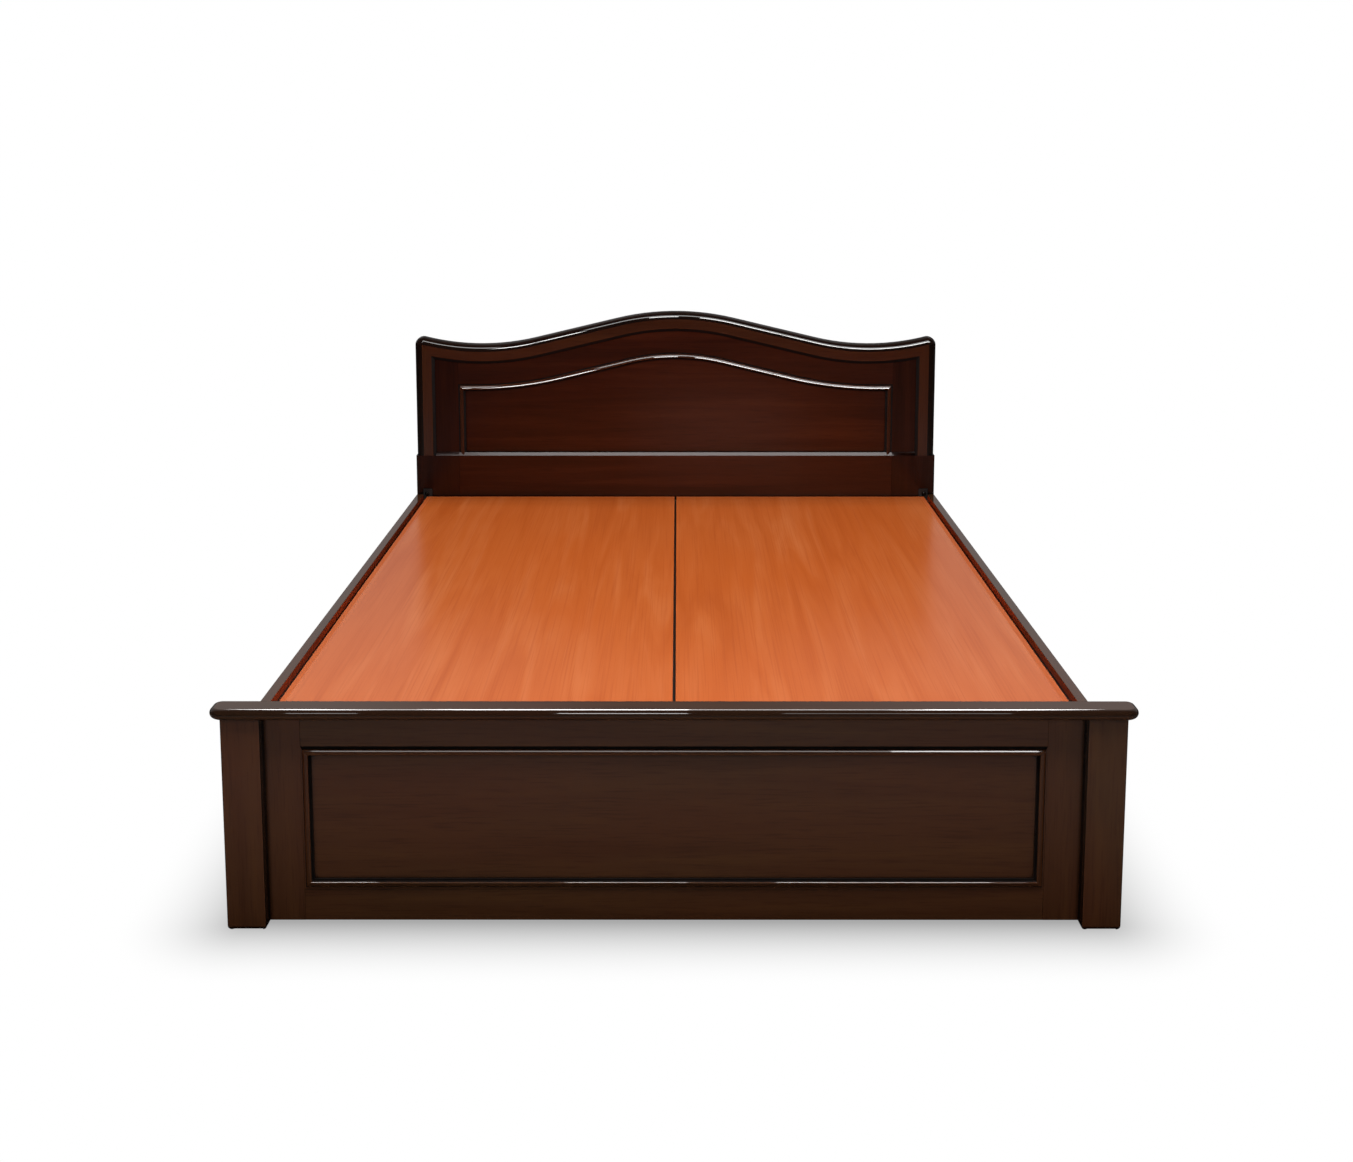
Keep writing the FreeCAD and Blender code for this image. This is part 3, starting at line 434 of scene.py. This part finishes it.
def hardwood_for(node, shade_share=0):
    """The hardwood for a piece, with the grain along it and the polish that its shape gets."""
    # Painted shade: the posts and the cap always take a share of near black
    if "post" in node or "cap" in node:
        shade_share = max(shade_share, PART_SHADE_SHARE)
    polish = "crest" if "headboard" in node else "moulded"
    if any(word in node for word in BROAD):
        polish = "flat"
    if "side_rail" in node:
        return polished_hardwood("y", shade_share, polish)
    return polished_hardwood("z" if any(word in node for word in UPRIGHT) else "x", shade_share, polish)


def timber_for(node):
    """The raw timber whose grain runs along a piece."""
    if "centre_leg" in node:
        return TIMBER["z"]
    return TIMBER["y" if "side_ledger" in node or node == "centre_beam" else "x"]


MATERIAL_OF_SLOT = {
    "polished_hardwood": hardwood_for, "raw_timber": timber_for,
    "deck_plywood": lambda node: DECK, "dowel_beech": lambda node: BEECH,
    "bracket_steel": lambda node: BRACKET_STEEL, "zinc_plated_steel": lambda node: ZINC,
    "black_oxide_steel": lambda node: BLACK_OXIDE, "glide_plastic": lambda node: GLIDE}
SLOT_OF_NODE = {part["node"]: part["material_slot"] for part in frame["record"]["subparts"]}
BODY_OF_NODE = {node: body for body, members in frame["record"]["behaviour"]["bodies"].items()
                for node in members}


def painted_light_finish(node):
    """What a piece's faces with painted light and shade carry: a painted highlight on the deck's
    edges, painted bounce light from the deck on the rails' inner faces, and painted shade elsewhere.
    """
    if "deck" in node:
        return DECK_EDGE_HIGHLIGHT
    if "side_rail" in node:
        return polished_hardwood("y", 0, "inner")
    return hardwood_for(node, CAP_SHADE_SHARE if "cap" in node else NOSE_SHADE_SHARE)


PLAIN, PAINTED_LIGHT_AND_SHADE, GROOVE_SHADED = range(3)


def finished(bm, node):
    """Makes a piece from a bmesh. It stands for the CAD node of its name and moves with its body."""
    bmesh.ops.recalc_face_normals(bm, faces=bm.faces)
    marked = any(face.material_index for face in bm.faces)
    mesh = bpy.data.meshes.new(node + "_piece")
    bm.to_mesh(mesh)
    bm.free()
    mesh.shade_smooth()
    mesh.set_sharp_from_angle(angle=SMOOTH_ANGLE)
    piece = bpy.data.objects.new(node + "_piece", mesh)
    bpy.context.scene.collection.objects.link(piece)
    mesh.materials.append(MATERIAL_OF_SLOT[SLOT_OF_NODE[node]](node))
    # Faces with painted light and shade, and with painted groove shade, take the second and third slots
    if marked:
        mesh.materials.append(painted_light_finish(node))
        mesh.materials.append(QUIRK)
    # Broad faces keep their own direction, so that only the eased edges shade round
    weighted = piece.modifiers.new("broad_faces", "WEIGHTED_NORMAL")
    weighted.keep_sharp = True
    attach(piece, BODY_OF_NODE[node])
    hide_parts(node)


def drawn_through(lines, marks):
    """A closed bar whose section is the ring of lines: each line is pulled out of the one before.

    Marks give the finish of the faces that lead to each line.
    """
    bm = bmesh.new()
    row = [bm.verts.new(place) for place in lines[0]]
    edges = [bm.edges.new(pair) for pair in zip(row, row[1:])]
    for line, mark in zip(lines[1:] + lines[:1], marks[1:] + marks[:1]):
        made = bmesh.ops.extrude_edge_only(bm, edges=edges)["geom"]
        for part in made:
            if isinstance(part, bmesh.types.BMFace):
                part.material_index = mark
        fresh = {part for part in made if isinstance(part, bmesh.types.BMVert)}
        row = [next(edge.other_vert(vert) for edge in vert.link_edges if edge.other_vert(vert) in fresh)
               for vert in row]
        for vert, place in zip(row, line):
            vert.co = place
        edges = [bm.edges.get(pair) for pair in zip(row, row[1:])]
    bmesh.ops.remove_doubles(bm, verts=bm.verts, dist=SAME_PLACE)
    close_ends(bm)
    return bm


def close_ends(bm):
    """Fills the open ends of a bar."""
    bmesh.ops.holes_fill(bm, edges=[edge for edge in bm.edges if edge.is_boundary], sides=0)


def cut_away(bm, place, normal):
    """Cuts off what lies on the side to which the normal points, and closes the cut."""
    bmesh.ops.bisect_plane(bm, geom=bm.verts[:] + bm.edges[:] + bm.faces[:], dist=SAME_PLACE_IN_CUT,
                           plane_co=place, plane_no=normal, clear_outer=True)
    close_ends(bm)


def rounded(bm, radius, chosen, segments=6):
    """Rounds the edges for which chosen(direction of the edge, its middle) holds."""
    edges = []
    for edge in bm.edges:
        first, second = (vert.co for vert in edge.verts)
        if chosen((second - first).normalized(), (first + second) / 2):
            edges.append(edge)
    bmesh.ops.bevel(bm, geom=edges, offset=radius, affect="EDGES", segments=segments, profile=0.5,
                    material=-1, clamp_overlap=False)


def block(node):
    """A plain box that fills a CAD node's box."""
    low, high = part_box(node)
    bm = bmesh.new()
    bmesh.ops.create_cube(bm, size=1)
    bmesh.ops.scale(bm, vec=high - low, verts=bm.verts)
    bmesh.ops.translate(bm, vec=(low + high) / 2, verts=bm.verts)
    return bm


def is_upright(direction, middle):
    """Whether an edge stands upright."""
    return abs(direction.z) > 0.9


def paint_light_and_shade(bm, chosen):
    """Gives painted light and shade to the faces for which chosen(normal, middle) holds."""
    bm.normal_update()
    for face in bm.faces:
        if chosen(face.normal, face.calc_center_median()):
            face.material_index = PAINTED_LIGHT_AND_SHADE


def curve_radii(crown_height, line):
    """Radii, centres' heights and the flanks' slope of a curved top line."""
    rise = crown_height - line["trough_height"]
    radius_sum = (line["trough_place"] ** 2 + rise ** 2) / (2 * rise)
    crown_radius = line["crown_share"] * radius_sum
    trough_radius = line["trough_share"] * radius_sum
    crown_centre = crown_height - crown_radius
    trough_centre = line["trough_height"] + trough_radius
    climb = trough_centre - crown_centre
    reach = math.hypot(line["trough_place"], climb)
    slope = math.atan2(line["trough_place"], climb) - math.acos((crown_radius + trough_radius) / reach)
    return crown_radius, crown_centre, trough_radius, trough_centre, slope


def half_curve(crown_height, line, drop, end_angle):
    """(x, z) places of a top line's right half, from its middle, at a parallel distance below."""
    crown_radius, crown_centre, trough_radius, trough_centre, slope = curve_radii(crown_height, line)
    crown_radius -= drop
    trough_radius += drop
    places = []
    for step in range(CROWN_STEPS + 1):
        angle = slope * step / CROWN_STEPS
        places.append((crown_radius * math.sin(angle), crown_centre + crown_radius * math.cos(angle)))
    for step in range(TROUGH_STEPS + 1):
        angle = slope + (end_angle - slope) * step / TROUGH_STEPS
        places.append((line["trough_place"] - trough_radius * math.sin(angle),
                       trough_centre - trough_radius * math.cos(angle)))
    return places


def whole(half, y):
    """Places from left to right, from the (x, z) places of the right half."""
    left = [Vector((-x, y, z)) for x, z in reversed(half[1:])]
    return left + [Vector((x, y, z)) for x, z in half]


def border_half(drop):
    """The right half of the border's outline at a distance inside its outer edge, down to the ledge."""
    _, _, trough_radius, trough_centre, _ = curve_radii(CREST_HEIGHT, CREST)
    ear = max(EAR_RADIUS - drop, 0)
    ear_x = BORDER_OUTER_X - drop - ear
    outwards = ear_x - CREST["trough_place"]
    ear_z = trough_centre - math.sqrt((trough_radius + drop + ear) ** 2 - outwards ** 2)
    lean = math.atan2(outwards, trough_centre - ear_z)
    places = half_curve(CREST_HEIGHT, CREST, drop, -lean)
    for step in range(1, EAR_STEPS + 1):
        angle = (math.pi / 2 + lean) * (1 - step / EAR_STEPS)
        places.append((ear_x + ear * math.cos(angle), ear_z + ear * math.sin(angle)))
    return places + [(BORDER_OUTER_X - drop, LEDGE_Z)]


CREST_LOW, CREST_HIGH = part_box("headboard_crest_moulding")
BORDER_LOW, BORDER_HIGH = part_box("headboard_right_border")
_, HEAD_BEAD_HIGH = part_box("headboard_bead_top")
CREST_HEIGHT = CREST_HIGH.z
BORDER_OUTER_X = BORDER_HIGH.x
LEDGE_Z = BORDER_LOW.z
HEAD_FACE_Y = CREST_LOW.y
BORDER_THICKNESS = CREST_HIGH.y - CREST_LOW.y
FIELD_Y = HEAD_BEAD_HIGH.y - PANEL_DROP
OPENING_X = HEAD_BEAD_HIGH.x
OPENING_HEIGHT = HEAD_BEAD_HIGH.z


def border_section():
    """The border's section: (distance inside the outer edge, depth behind the face, finish)."""
    # The nose carries painted shade, and the bevel and the inner face the painted groove shade
    section = [(0, BORDER_THICKNESS, PLAIN)]
    for step in range(NOSE_STEPS + 1):
        angle = math.pi / 2 * step / NOSE_STEPS
        section.append((BORDER_NOSE * (1 - math.cos(angle)),
                        BORDER_NOSE * (1 - math.sin(angle)), PAINTED_LIGHT_AND_SHADE))
    flat_end = BORDER_WIDTH - BEVEL_WIDTH
    return section + [(flat_end - ARRIS, 0, PLAIN), (flat_end, ARRIS / 4, PLAIN),
                      (flat_end + ARRIS, ARRIS, PLAIN), (BORDER_WIDTH, BEVEL_DEPTH, GROOVE_SHADED),
                      (BORDER_WIDTH, BORDER_THICKNESS, GROOVE_SHADED)]


def build_border():
    """The crest moulding and the two side borders, mitred at the ears."""
    lines = [whole(border_half(drop), HEAD_FACE_Y + depth) for drop, depth, _ in border_section()]
    marks = [mark for _, _, mark in border_section()]
    inner = BORDER_OUTER_X - BORDER_WIDTH
    field_corner = border_half(BORDER_WIDTH)[-2]
    _, _, trough_radius, trough_centre, _ = curve_radii(CREST_HEIGHT, CREST)
    outwards = BORDER_OUTER_X - CREST["trough_place"]
    ear_corner = trough_centre - math.sqrt(trough_radius ** 2 - outwards ** 2)
    rise = ear_corner - field_corner[1]
    right_mitre = Vector((inner, 0, field_corner[1])), Vector((rise, 0, -BORDER_WIDTH))
    left_mitre = Vector((-inner, 0, field_corner[1])), Vector((-rise, 0, -BORDER_WIDTH))
    crest = drawn_through(lines, marks)
    cut_away(crest, *right_mitre)
    cut_away(crest, *left_mitre)
    finished(crest, "headboard_crest_moulding")
    for node, (place, normal) in (("headboard_right_border", right_mitre),
                                  ("headboard_left_border", left_mitre)):
        side = drawn_through(lines, marks)
        cut_away(side, place, -normal)
        finished(side, node)


def bead_section():
    """The bead's section: (place in from the opening's edge, height in front of the face, finish)."""
    # The quirk and the groove carry the painted groove shade
    section = [(0, -PANEL_DROP, PLAIN), (0, -QUIRK_DEPTH, GROOVE_SHADED),
               (BEAD_QUIRK, -QUIRK_DEPTH, GROOVE_SHADED)]
    across, height = BEAD_QUIRK, -ROUND_START
    section.append((across, height, GROOVE_SHADED))
    for lean in ROUND_LEANS:
        across += BEAD_ROUND * ROUND_STRIDE * math.sin(math.radians(90 - lean))
        height += BEAD_ROUND * ROUND_STRIDE * math.cos(math.radians(90 - lean))
        section.append((across, height, PLAIN))
    ridge = BEAD_STEP - BEAD_NOSE
    stride = (ridge - across) / len(BEAD_LEANS)
    for lean in BEAD_LEANS:
        across += stride
        height += stride * math.tan(math.radians(lean))
        section.append((across, height, PLAIN))
    for step in range(1, BEAD_NOSE_STEPS + 1):
        angle = math.pi / 2 * step / BEAD_NOSE_STEPS
        section.append((ridge + BEAD_NOSE * math.sin(angle),
                        height - BEAD_NOSE * (1 - math.cos(angle)), PLAIN))
    return section + [(BEAD_STEP, -GROOVE_DEPTH, GROOVE_SHADED), (BEAD_WIDTH, -GROOVE_DEPTH, GROOVE_SHADED),
                      (BEAD_WIDTH, -PANEL_DROP, GROOVE_SHADED)]


def build_head_beads():
    """Beads along the curved top and down both sides of the headboard's panel."""
    top, right = [], []
    marks = [mark for _, _, mark in bead_section()]
    for across, height, _ in bead_section():
        half = half_curve(OPENING_HEIGHT, OPENING, across, 0)
        corner = (OPENING_X - across, half[-1][1])
        y = FIELD_Y - height
        top.append(whole(half + [corner], y))
        right.append([Vector((corner[0], y, corner[1])), Vector((corner[0], y, LEDGE_Z))])
    finished(drawn_through(top, marks), "headboard_bead_top")
    finished(drawn_through(right, marks), "headboard_bead_right")
    left = [[Vector((-place.x, place.y, place.z)) for place in line] for line in right]
    finished(drawn_through(left, marks), "headboard_bead_left")


def foot_bead_section(quirk, sunk, step_shift, edge_shift):
    """The bead's section, fitted to one side of the footboard's panel.

    A shallow quirk is left plain, and a thin line of painted shade marks where the round starts.
    """
    shallow = sunk < SHALLOW_QUIRK
    stretch = (BEAD_STEP + step_shift - quirk) / (BEAD_STEP - BEAD_QUIRK)
    section = []
    for point, (across, height, mark) in enumerate(bead_section()):
        if point in QUIRK_POINTS:
            height = -sunk
            mark = PLAIN if shallow else GROOVE_SHADED
        if point in ROUND_POINTS and shallow:
            mark = GROOVE_SHADED
        if across > BEAD_STEP + SAME_PLACE:
            across += edge_shift
        elif across >= BEAD_QUIRK:
            across = quirk + (across - BEAD_QUIRK) * stretch
        section.append((across, height, mark))
    return section


def build_foot_beads():
    """Mitred beads round the footboard's panel."""
    _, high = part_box("footboard_bead_top")
    low_edge, high_edge, side_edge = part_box("footboard_bead_bottom")[0].z, high.z, high.x
    face_y = high.y - PANEL_DROP
    # The corners that each bead runs between, counted from the lower left
    corners_of = {"bottom": (0, 1), "right": (1, 2), "top": (2, 3), "left": (3, 0)}
    sections = {name: foot_bead_section(*FOOT_BEADS[name]) for name in corners_of}
    for name, ends in corners_of.items():
        lines = []
        for point, (_, height, _) in enumerate(sections[name]):
            left_x = sections["left"][point][0] - side_edge
            right_x = side_edge - sections["right"][point][0]
            low_z = low_edge + sections["bottom"][point][0]
            high_z = high_edge - sections["top"][point][0]
            corners = [(left_x, low_z), (right_x, low_z), (right_x, high_z), (left_x, high_z)]
            lines.append([Vector((corners[end][0], face_y - height, corners[end][1]))
                          for end in ends])
        marks = [mark for _, _, mark in sections[name]]
        finished(drawn_through(lines, marks), "footboard_bead_" + name)


def build_cap():
    """The footboard's cap, with a full bullnose all round."""
    bm = block("footboard_cap")
    low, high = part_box("footboard_cap")
    middle_y = (low.y + high.y) / 2
    rounded(bm, CAP_FRONT_CORNER, lambda direction, middle: is_upright(direction, middle)
            and middle.y < middle_y, segments=12)
    rounded(bm, CAP_REAR_CORNER, lambda direction, middle: is_upright(direction, middle)
            and middle.y > high.y - ARRIS, segments=10)
    rounded(bm, CAP_BULLNOSE, lambda direction, middle: abs(direction.z) < 0.5, segments=16)
    # Painted shade on the cap's edges: all faces but the flat top and those that face down
    paint_light_and_shade(bm, lambda normal, middle: CAP_EDGE_TURNS[0] < normal.z < CAP_EDGE_TURNS[1])
    finished(bm, "footboard_cap")


def inwards(side, turn):
    """How far a direction points into the bed from its left or right side."""
    return turn.x if side == "left" else -turn.x


def build_foot_leg(side):
    """A leg of the footboard: eased edges, a rounded foot, and painted shade on its inner side."""
    node = "footboard_%s_leg" % side
    bm = block(node)
    floor_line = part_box(node)[0].z + ARRIS
    rounded(bm, LEG_EASE, is_upright)
    rounded(bm, FOOT_ROUND, lambda direction, middle: middle.z < floor_line)
    paint_light_and_shade(bm, lambda normal, middle: inwards(side, normal) > LEG_SIDE_TURN)
    finished(bm, node)


def build_side_rail(side):
    """A side rail: eased edges, and painted bounce light from the deck on its inner face."""
    node = side + "_side_rail"
    bm = block(node)
    rounded(bm, RAIL_EASE, lambda direction, middle: abs(direction.y) > 0.9, segments=4)
    band_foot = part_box(node)[1].z - INNER_DEPTH
    bmesh.ops.bisect_plane(bm, geom=bm.verts[:] + bm.edges[:] + bm.faces[:],
                           plane_co=(0, 0, band_foot), plane_no=(0, 0, 1))
    # Painted bounce light from the deck on the inner face's upper band
    paint_light_and_shade(bm, lambda normal, middle: inwards(side, normal) > RAIL_SIDE_TURN
          and middle.z > band_foot)
    finished(bm, node)


def build_deck_board(side):
    """A deck board: eased edges, with a painted highlight on its three outer sides."""
    bm = block(side + "_deck_board")
    rounded(bm, DECK_EASE, lambda direction, middle: True, segments=3)
    # Painted highlight on the outer eased edges
    paint_light_and_shade(bm, lambda normal, middle: DECK_EDGE_TURNS[0] < normal.z < DECK_EDGE_TURNS[1]
          and max(-inwards(side, normal), abs(normal.y)) > DECK_SIDE_TURN)
    finished(bm, side + "_deck_board")


def build_eased(node, ease):
    """A copy of a CAD node with its long outer edges eased, so that joints show as hairlines."""
    bm = bmesh.new()
    bm.from_mesh(frame["nodes"][node].data)
    bmesh.ops.remove_doubles(bm, verts=bm.verts, dist=SAME_PLACE_IN_PACKED)
    bmesh.ops.dissolve_limit(bm, angle_limit=FLAT_ANGLE, verts=bm.verts, edges=bm.edges)
    if ease:
        long_edges = [edge for edge in bm.edges
                      if edge.is_convex and len(edge.link_faces) == 2
                      and edge.calc_length() > LONG_EDGE and edge.calc_face_angle() > SHARP_ANGLE]
        bmesh.ops.bevel(bm, geom=long_edges, offset=ease, affect="EDGES", segments=2, profile=0.5,
                        material=-1, clamp_overlap=True)
    finished(bm, node)


def dress_cad_nodes():
    """Gives every CAD node that still shows the finish of its own slot."""
    for node, piece in frame["nodes"].items():
        if not piece.hide_render:
            material = MATERIAL_OF_SLOT[SLOT_OF_NODE[node]](node)
            piece.data.materials.clear()
            piece.data.materials.append(material)


build_border()
build_head_beads()
build_foot_beads()
build_cap()
for side in ("left", "right"):
    build_foot_leg(side)
    build_side_rail(side)
    build_deck_board(side)
for eased in ("headboard_left_post", "headboard_right_post", "headboard_top_rail",
              "headboard_lower_rail", "footboard_left_stile", "footboard_right_stile",
              "footboard_top_rail", "footboard_bottom_rail"):
    build_eased(eased, ARRIS)
for smooth in ("headboard_panel", "footboard_panel", "bed_bolts"):
    build_eased(smooth, 0)
dress_cad_nodes()


def on_headboard(name):
    """The whole headboard."""
    return "headboard" in name


def on_flats(name):
    """The headboard's broad faces."""
    return any(word in name for word in BROAD)


def off_flats(name):
    """All but the headboard's broad faces."""
    return not on_flats(name)


def on_tops(name):
    """The cap and the side rails."""
    return "cap" in name or "side_rail" in name


def on_cap(name):
    """The cap alone."""
    return "cap" in name


def off_cap(name):
    """All but the cap."""
    return "cap" not in name


def on_beads(name):
    """The footboard's beads."""
    return "footboard_bead" in name


# Lamps: name, centre, the place it faces, width, height, radiance, what picks it up (matt surfaces
# or the gloss), and the pieces that it lights
LAMPS = [
    ("key", (0, -1.8, 2.6), (0, -1.8, 0), 3.0, 0.8, 9.6, "matt", off_flats),
    ("overhead", (0, 1.0, 3.05), (0, 1.0, 0), 2.3, 1.6, 5.2, "matt", off_flats),
    ("head_fill", (0.15, 0.35, 0.50), (0.15, 1.0, 0.50), 0.5, 0.2, 5.4, "matt", on_flats),
    ("rear_fill", (0, 3.2, 1.3), (0, 1.06, 0.5), 2.4, 0.8, 4.0, "matt", on_flats),
    ("front_fill", (0, -2.9, 1.0), (0, -1.0, 0.35), 2.6, 0.6, 2.1, "matt", off_flats),
    ("front_left", (-1.20, -1.75, 3.05), (-1.20, -1.75, 0), 0.24, 0.8, 36.0, "gloss", off_cap),
    ("front_middle", (-0.18, -1.75, 3.05), (-0.18, -1.75, 0), 0.44, 0.8, 32.0, "gloss", off_cap),
    ("front_right", (0.75, -1.75, 3.05), (0.75, -1.75, 0), 0.77, 0.8, 38.0, "gloss", off_cap),
    ("crest_left", (-1.20, -1.75, 3.05), (-1.20, -1.75, 0), 0.24, 0.8, 30.0, "gloss", on_headboard),
    ("crest_right", (1.75, -1.75, 3.05), (1.75, -1.75, 0), 1.2, 0.8, 38.0, "gloss", on_headboard),
    ("top_strip", (0.2, -0.65, 3.05), (0.2, -0.65, 0), 2.4, 0.7, 8.5, "gloss", on_headboard),
    ("cap_left", (-1.20, -3.06, 2.23), (-1.20, -1.06, 0.43), 0.24, 0.6, 5.0, "gloss", on_cap),
    ("cap_middle", (-0.18, -3.06, 2.23), (-0.18, -1.06, 0.43), 0.44, 0.6, 13.0, "gloss", on_cap),
    ("cap_right", (0.75, -3.06, 2.23), (0.75, -1.06, 0.43), 0.77, 0.6, 3.0, "gloss", on_cap),
    ("bead_strip", (-0.25, -2.45, 2.53), (-0.25, -1.03, 0.36), 1.95, 0.45, 4.2, "gloss", on_beads),
    ("bead_right", (0.97, -2.45, 2.53), (0.97, -1.03, 0.36), 0.5, 0.45, 18.0, "gloss", on_beads),
    ("back_left", (-2.06, 4.0, 4.55), (-2.06, 0, 4.55), 0.43, 3.75, 20.0, "gloss", on_tops),
    ("back_middle", (-0.62, 4.0, 4.55), (-0.62, 0, 4.55), 1.38, 3.75, 15.0, "gloss", on_tops),
    ("back_right", (1.74, 4.0, 4.55), (1.74, 0, 4.55), 0.83, 3.75, 20.0, "gloss", on_tops),
    ("back_wide", (0, 4.1, 4.55), (0, 0, 4.55), 4.3, 3.75, 6.5, "gloss", on_tops)]

# How far the floor goes to each side
FLOOR_REACH = 40.0

# The shadow painted on the floor round the bed: the outline that it starts from, how far it reaches
# and how deep it is there, and how far under the bed it goes on to darken, and to what share
FOOTPRINT = (0.80, 1.01)
SHADE_REACH = 0.255
SHADE_DEPTH = 0.59
UNDER_REACH = 0.35
UNDER_SHARE = 0.3

# How far out shade is painted into the floor's matt colour, so that it sends back less light than in
# the open, and its share close to the bed
BOUNCE_REACH = 0.8
BOUNCE_SHARE = 0.12

# How bright the studio's walls are: behind the bed in the middle and at the sides, and in front
WALL_MIDDLE = 0.15
WALL_SIDES = 0.36
FRONT_WALL = 0.05

# Where the walls change, in parts of a direction's length: from the middle to the sides, from the
# wall's dark foot to its full strength, and from the front to the back
MIDDLE_TO_SIDES = (0.03, 0.20)
FOOT_TO_WALL = (0.12, 0.20)
WALL_FOOT_SHARE = 0.15
FRONT_TO_BACK = (0.1, 0.5)


def build_floor():
    """A pale floor that is white to the camera, with the bed's shadow painted round and under it."""
    bm = bmesh.new()
    bmesh.ops.create_grid(bm, x_segments=1, y_segments=1, size=FLOOR_REACH)
    mesh = bpy.data.meshes.new("studio_floor")
    bm.to_mesh(mesh)
    bm.free()
    floor = bpy.data.objects.new("studio_floor", mesh)
    bpy.context.scene.collection.objects.link(floor)
    material = bpy.data.materials.new("studio_floor")
    material.use_nodes = True
    tree = material.node_tree
    tree.nodes.clear()
    place = add(tree, "ShaderNodeTexCoord").outputs["Object"]
    size = vector_maths(tree, "ABSOLUTE", place)
    beyond = vector_maths(tree, "SUBTRACT", size, [*FOOTPRINT, 0])
    outside = vector_maths(tree, "MAXIMUM", beyond, [0, 0, 0])
    distance = add(tree, "ShaderNodeVectorMath", {0: outside}, operation="LENGTH").outputs["Value"]
    fade = between(tree, distance, 0, SHADE_REACH, 1, 0)
    shade = maths(tree, "MULTIPLY_ADD", maths(tree, "MULTIPLY", fade, fade), -SHADE_DEPTH, 1.0)
    under = between(tree, larger_side(tree, beyond), -UNDER_REACH, 0, UNDER_SHARE, 1)
    shade = maths(tree, "MULTIPLY", shade, under)
    # Painted shadow: the camera sees the floor's glow darkened round and under the bed
    light = add(tree, "ShaderNodeEmission", {"Color": [1, 1, 1, 1], "Strength": shade})
    rays = add(tree, "ShaderNodeLightPath")
    tone = mixed(tree, rays.outputs["Is Glossy Ray"], linear("D8D8D8"), linear("686868"))
    # Painted shade in the matt colour near the bed; the matt floor is also darker in reflections
    wide_shade = between(tree, distance, 0, BOUNCE_REACH, BOUNCE_SHARE, 1)
    tone = mixed(tree, 1.0, tone, wide_shade, blend="MULTIPLY")
    tone = mixed(tree, 1.0, tone, shade, blend="MULTIPLY")
    matt = add(tree, "ShaderNodeBsdfDiffuse", {"Color": tone})
    both = add(tree, "ShaderNodeMixShader",
               {0: seen_directly(tree), 1: matt.outputs[0], 2: light.outputs[0]})
    add(tree, "ShaderNodeOutputMaterial", {"Surface": both.outputs[0]})
    mesh.materials.append(material)


def build_world():
    """White to the camera; otherwise a studio that is dark in front of the bed and grey behind it."""
    world = bpy.data.worlds.new("studio")
    bpy.context.scene.world = world
    world.use_nodes = True
    tree = world.node_tree
    tree.nodes.clear()
    direction = add(tree, "ShaderNodeTexCoord").outputs["Generated"]
    split = add(tree, "ShaderNodeSeparateXYZ", {0: direction})
    aside = maths(tree, "ABSOLUTE", split.outputs["X"])
    wall = between(tree, aside, *MIDDLE_TO_SIDES, WALL_MIDDLE, WALL_SIDES)
    raised = between(tree, split.outputs["Z"], *FOOT_TO_WALL, WALL_FOOT_SHARE, 1)
    wall = maths(tree, "MULTIPLY", wall, raised)
    behind = between(tree, split.outputs["Y"], *FRONT_TO_BACK, 0, 1)
    surroundings = add(tree, "ShaderNodeMix", {0: behind, 2: FRONT_WALL, 3: wall},
                       data_type="FLOAT").outputs[0]
    strength = add(tree, "ShaderNodeMix", {0: seen_directly(tree), 2: surroundings, 3: 1.0},
                   data_type="FLOAT").outputs[0]
    shade = add(tree, "ShaderNodeBackground", {"Color": [1, 1, 1, 1], "Strength": strength})
    add(tree, "ShaderNodeOutputWorld", {"Surface": shade.outputs[0]})


def build_lights():
    """Soft lamps for the matt light, and panels whose reflections the polished pieces show."""
    for name, centre, facing, width, height, radiance, seen_in, lit in LAMPS:
        lamp = bpy.data.lights.new(name, "AREA")
        lamp.shape = "RECTANGLE"
        lamp.size = width
        lamp.size_y = height
        lamp.energy = radiance * math.pi * width * height
        holder = bpy.data.objects.new(name, lamp)
        holder.location = centre
        holder.rotation_euler = (Vector(facing) - Vector(centre)).to_track_quat("-Z", "Y").to_euler()
        holder.visible_camera = False
        holder.visible_diffuse = seen_in == "matt"
        holder.visible_glossy = seen_in == "gloss"
        bpy.context.scene.collection.objects.link(holder)
        pieces = bpy.data.collections.new(name + "_lit")
        for piece in bpy.context.scene.collection.all_objects:
            if piece.type == "MESH" and lit(piece.name):
                pieces.objects.link(piece)
        holder.light_linking.receiver_collection = pieces


def build_camera():
    """The photograph's camera."""
    data = bpy.data.cameras.new("photo_camera")
    data.sensor_fit = "HORIZONTAL"
    data.sensor_width = SENSOR_WIDTH
    data.lens = SENSOR_WIDTH * FOCAL_PIXELS / PHOTO_WIDTH
    data.shift_y = (CENTRE_ROW - PHOTO_HEIGHT / 2) / PHOTO_WIDTH
    camera = bpy.data.objects.new("photo_camera", data)
    camera.location = CAMERA_PLACE
    camera.rotation_euler = (math.pi / 2 - CAMERA_PITCH, 0, CAMERA_YAW)
    bpy.context.scene.collection.objects.link(camera)
    bpy.context.scene.camera = camera


build_floor()
build_world()
build_lights()
build_camera()
bpy.context.scene.view_settings.view_transform = "Standard"
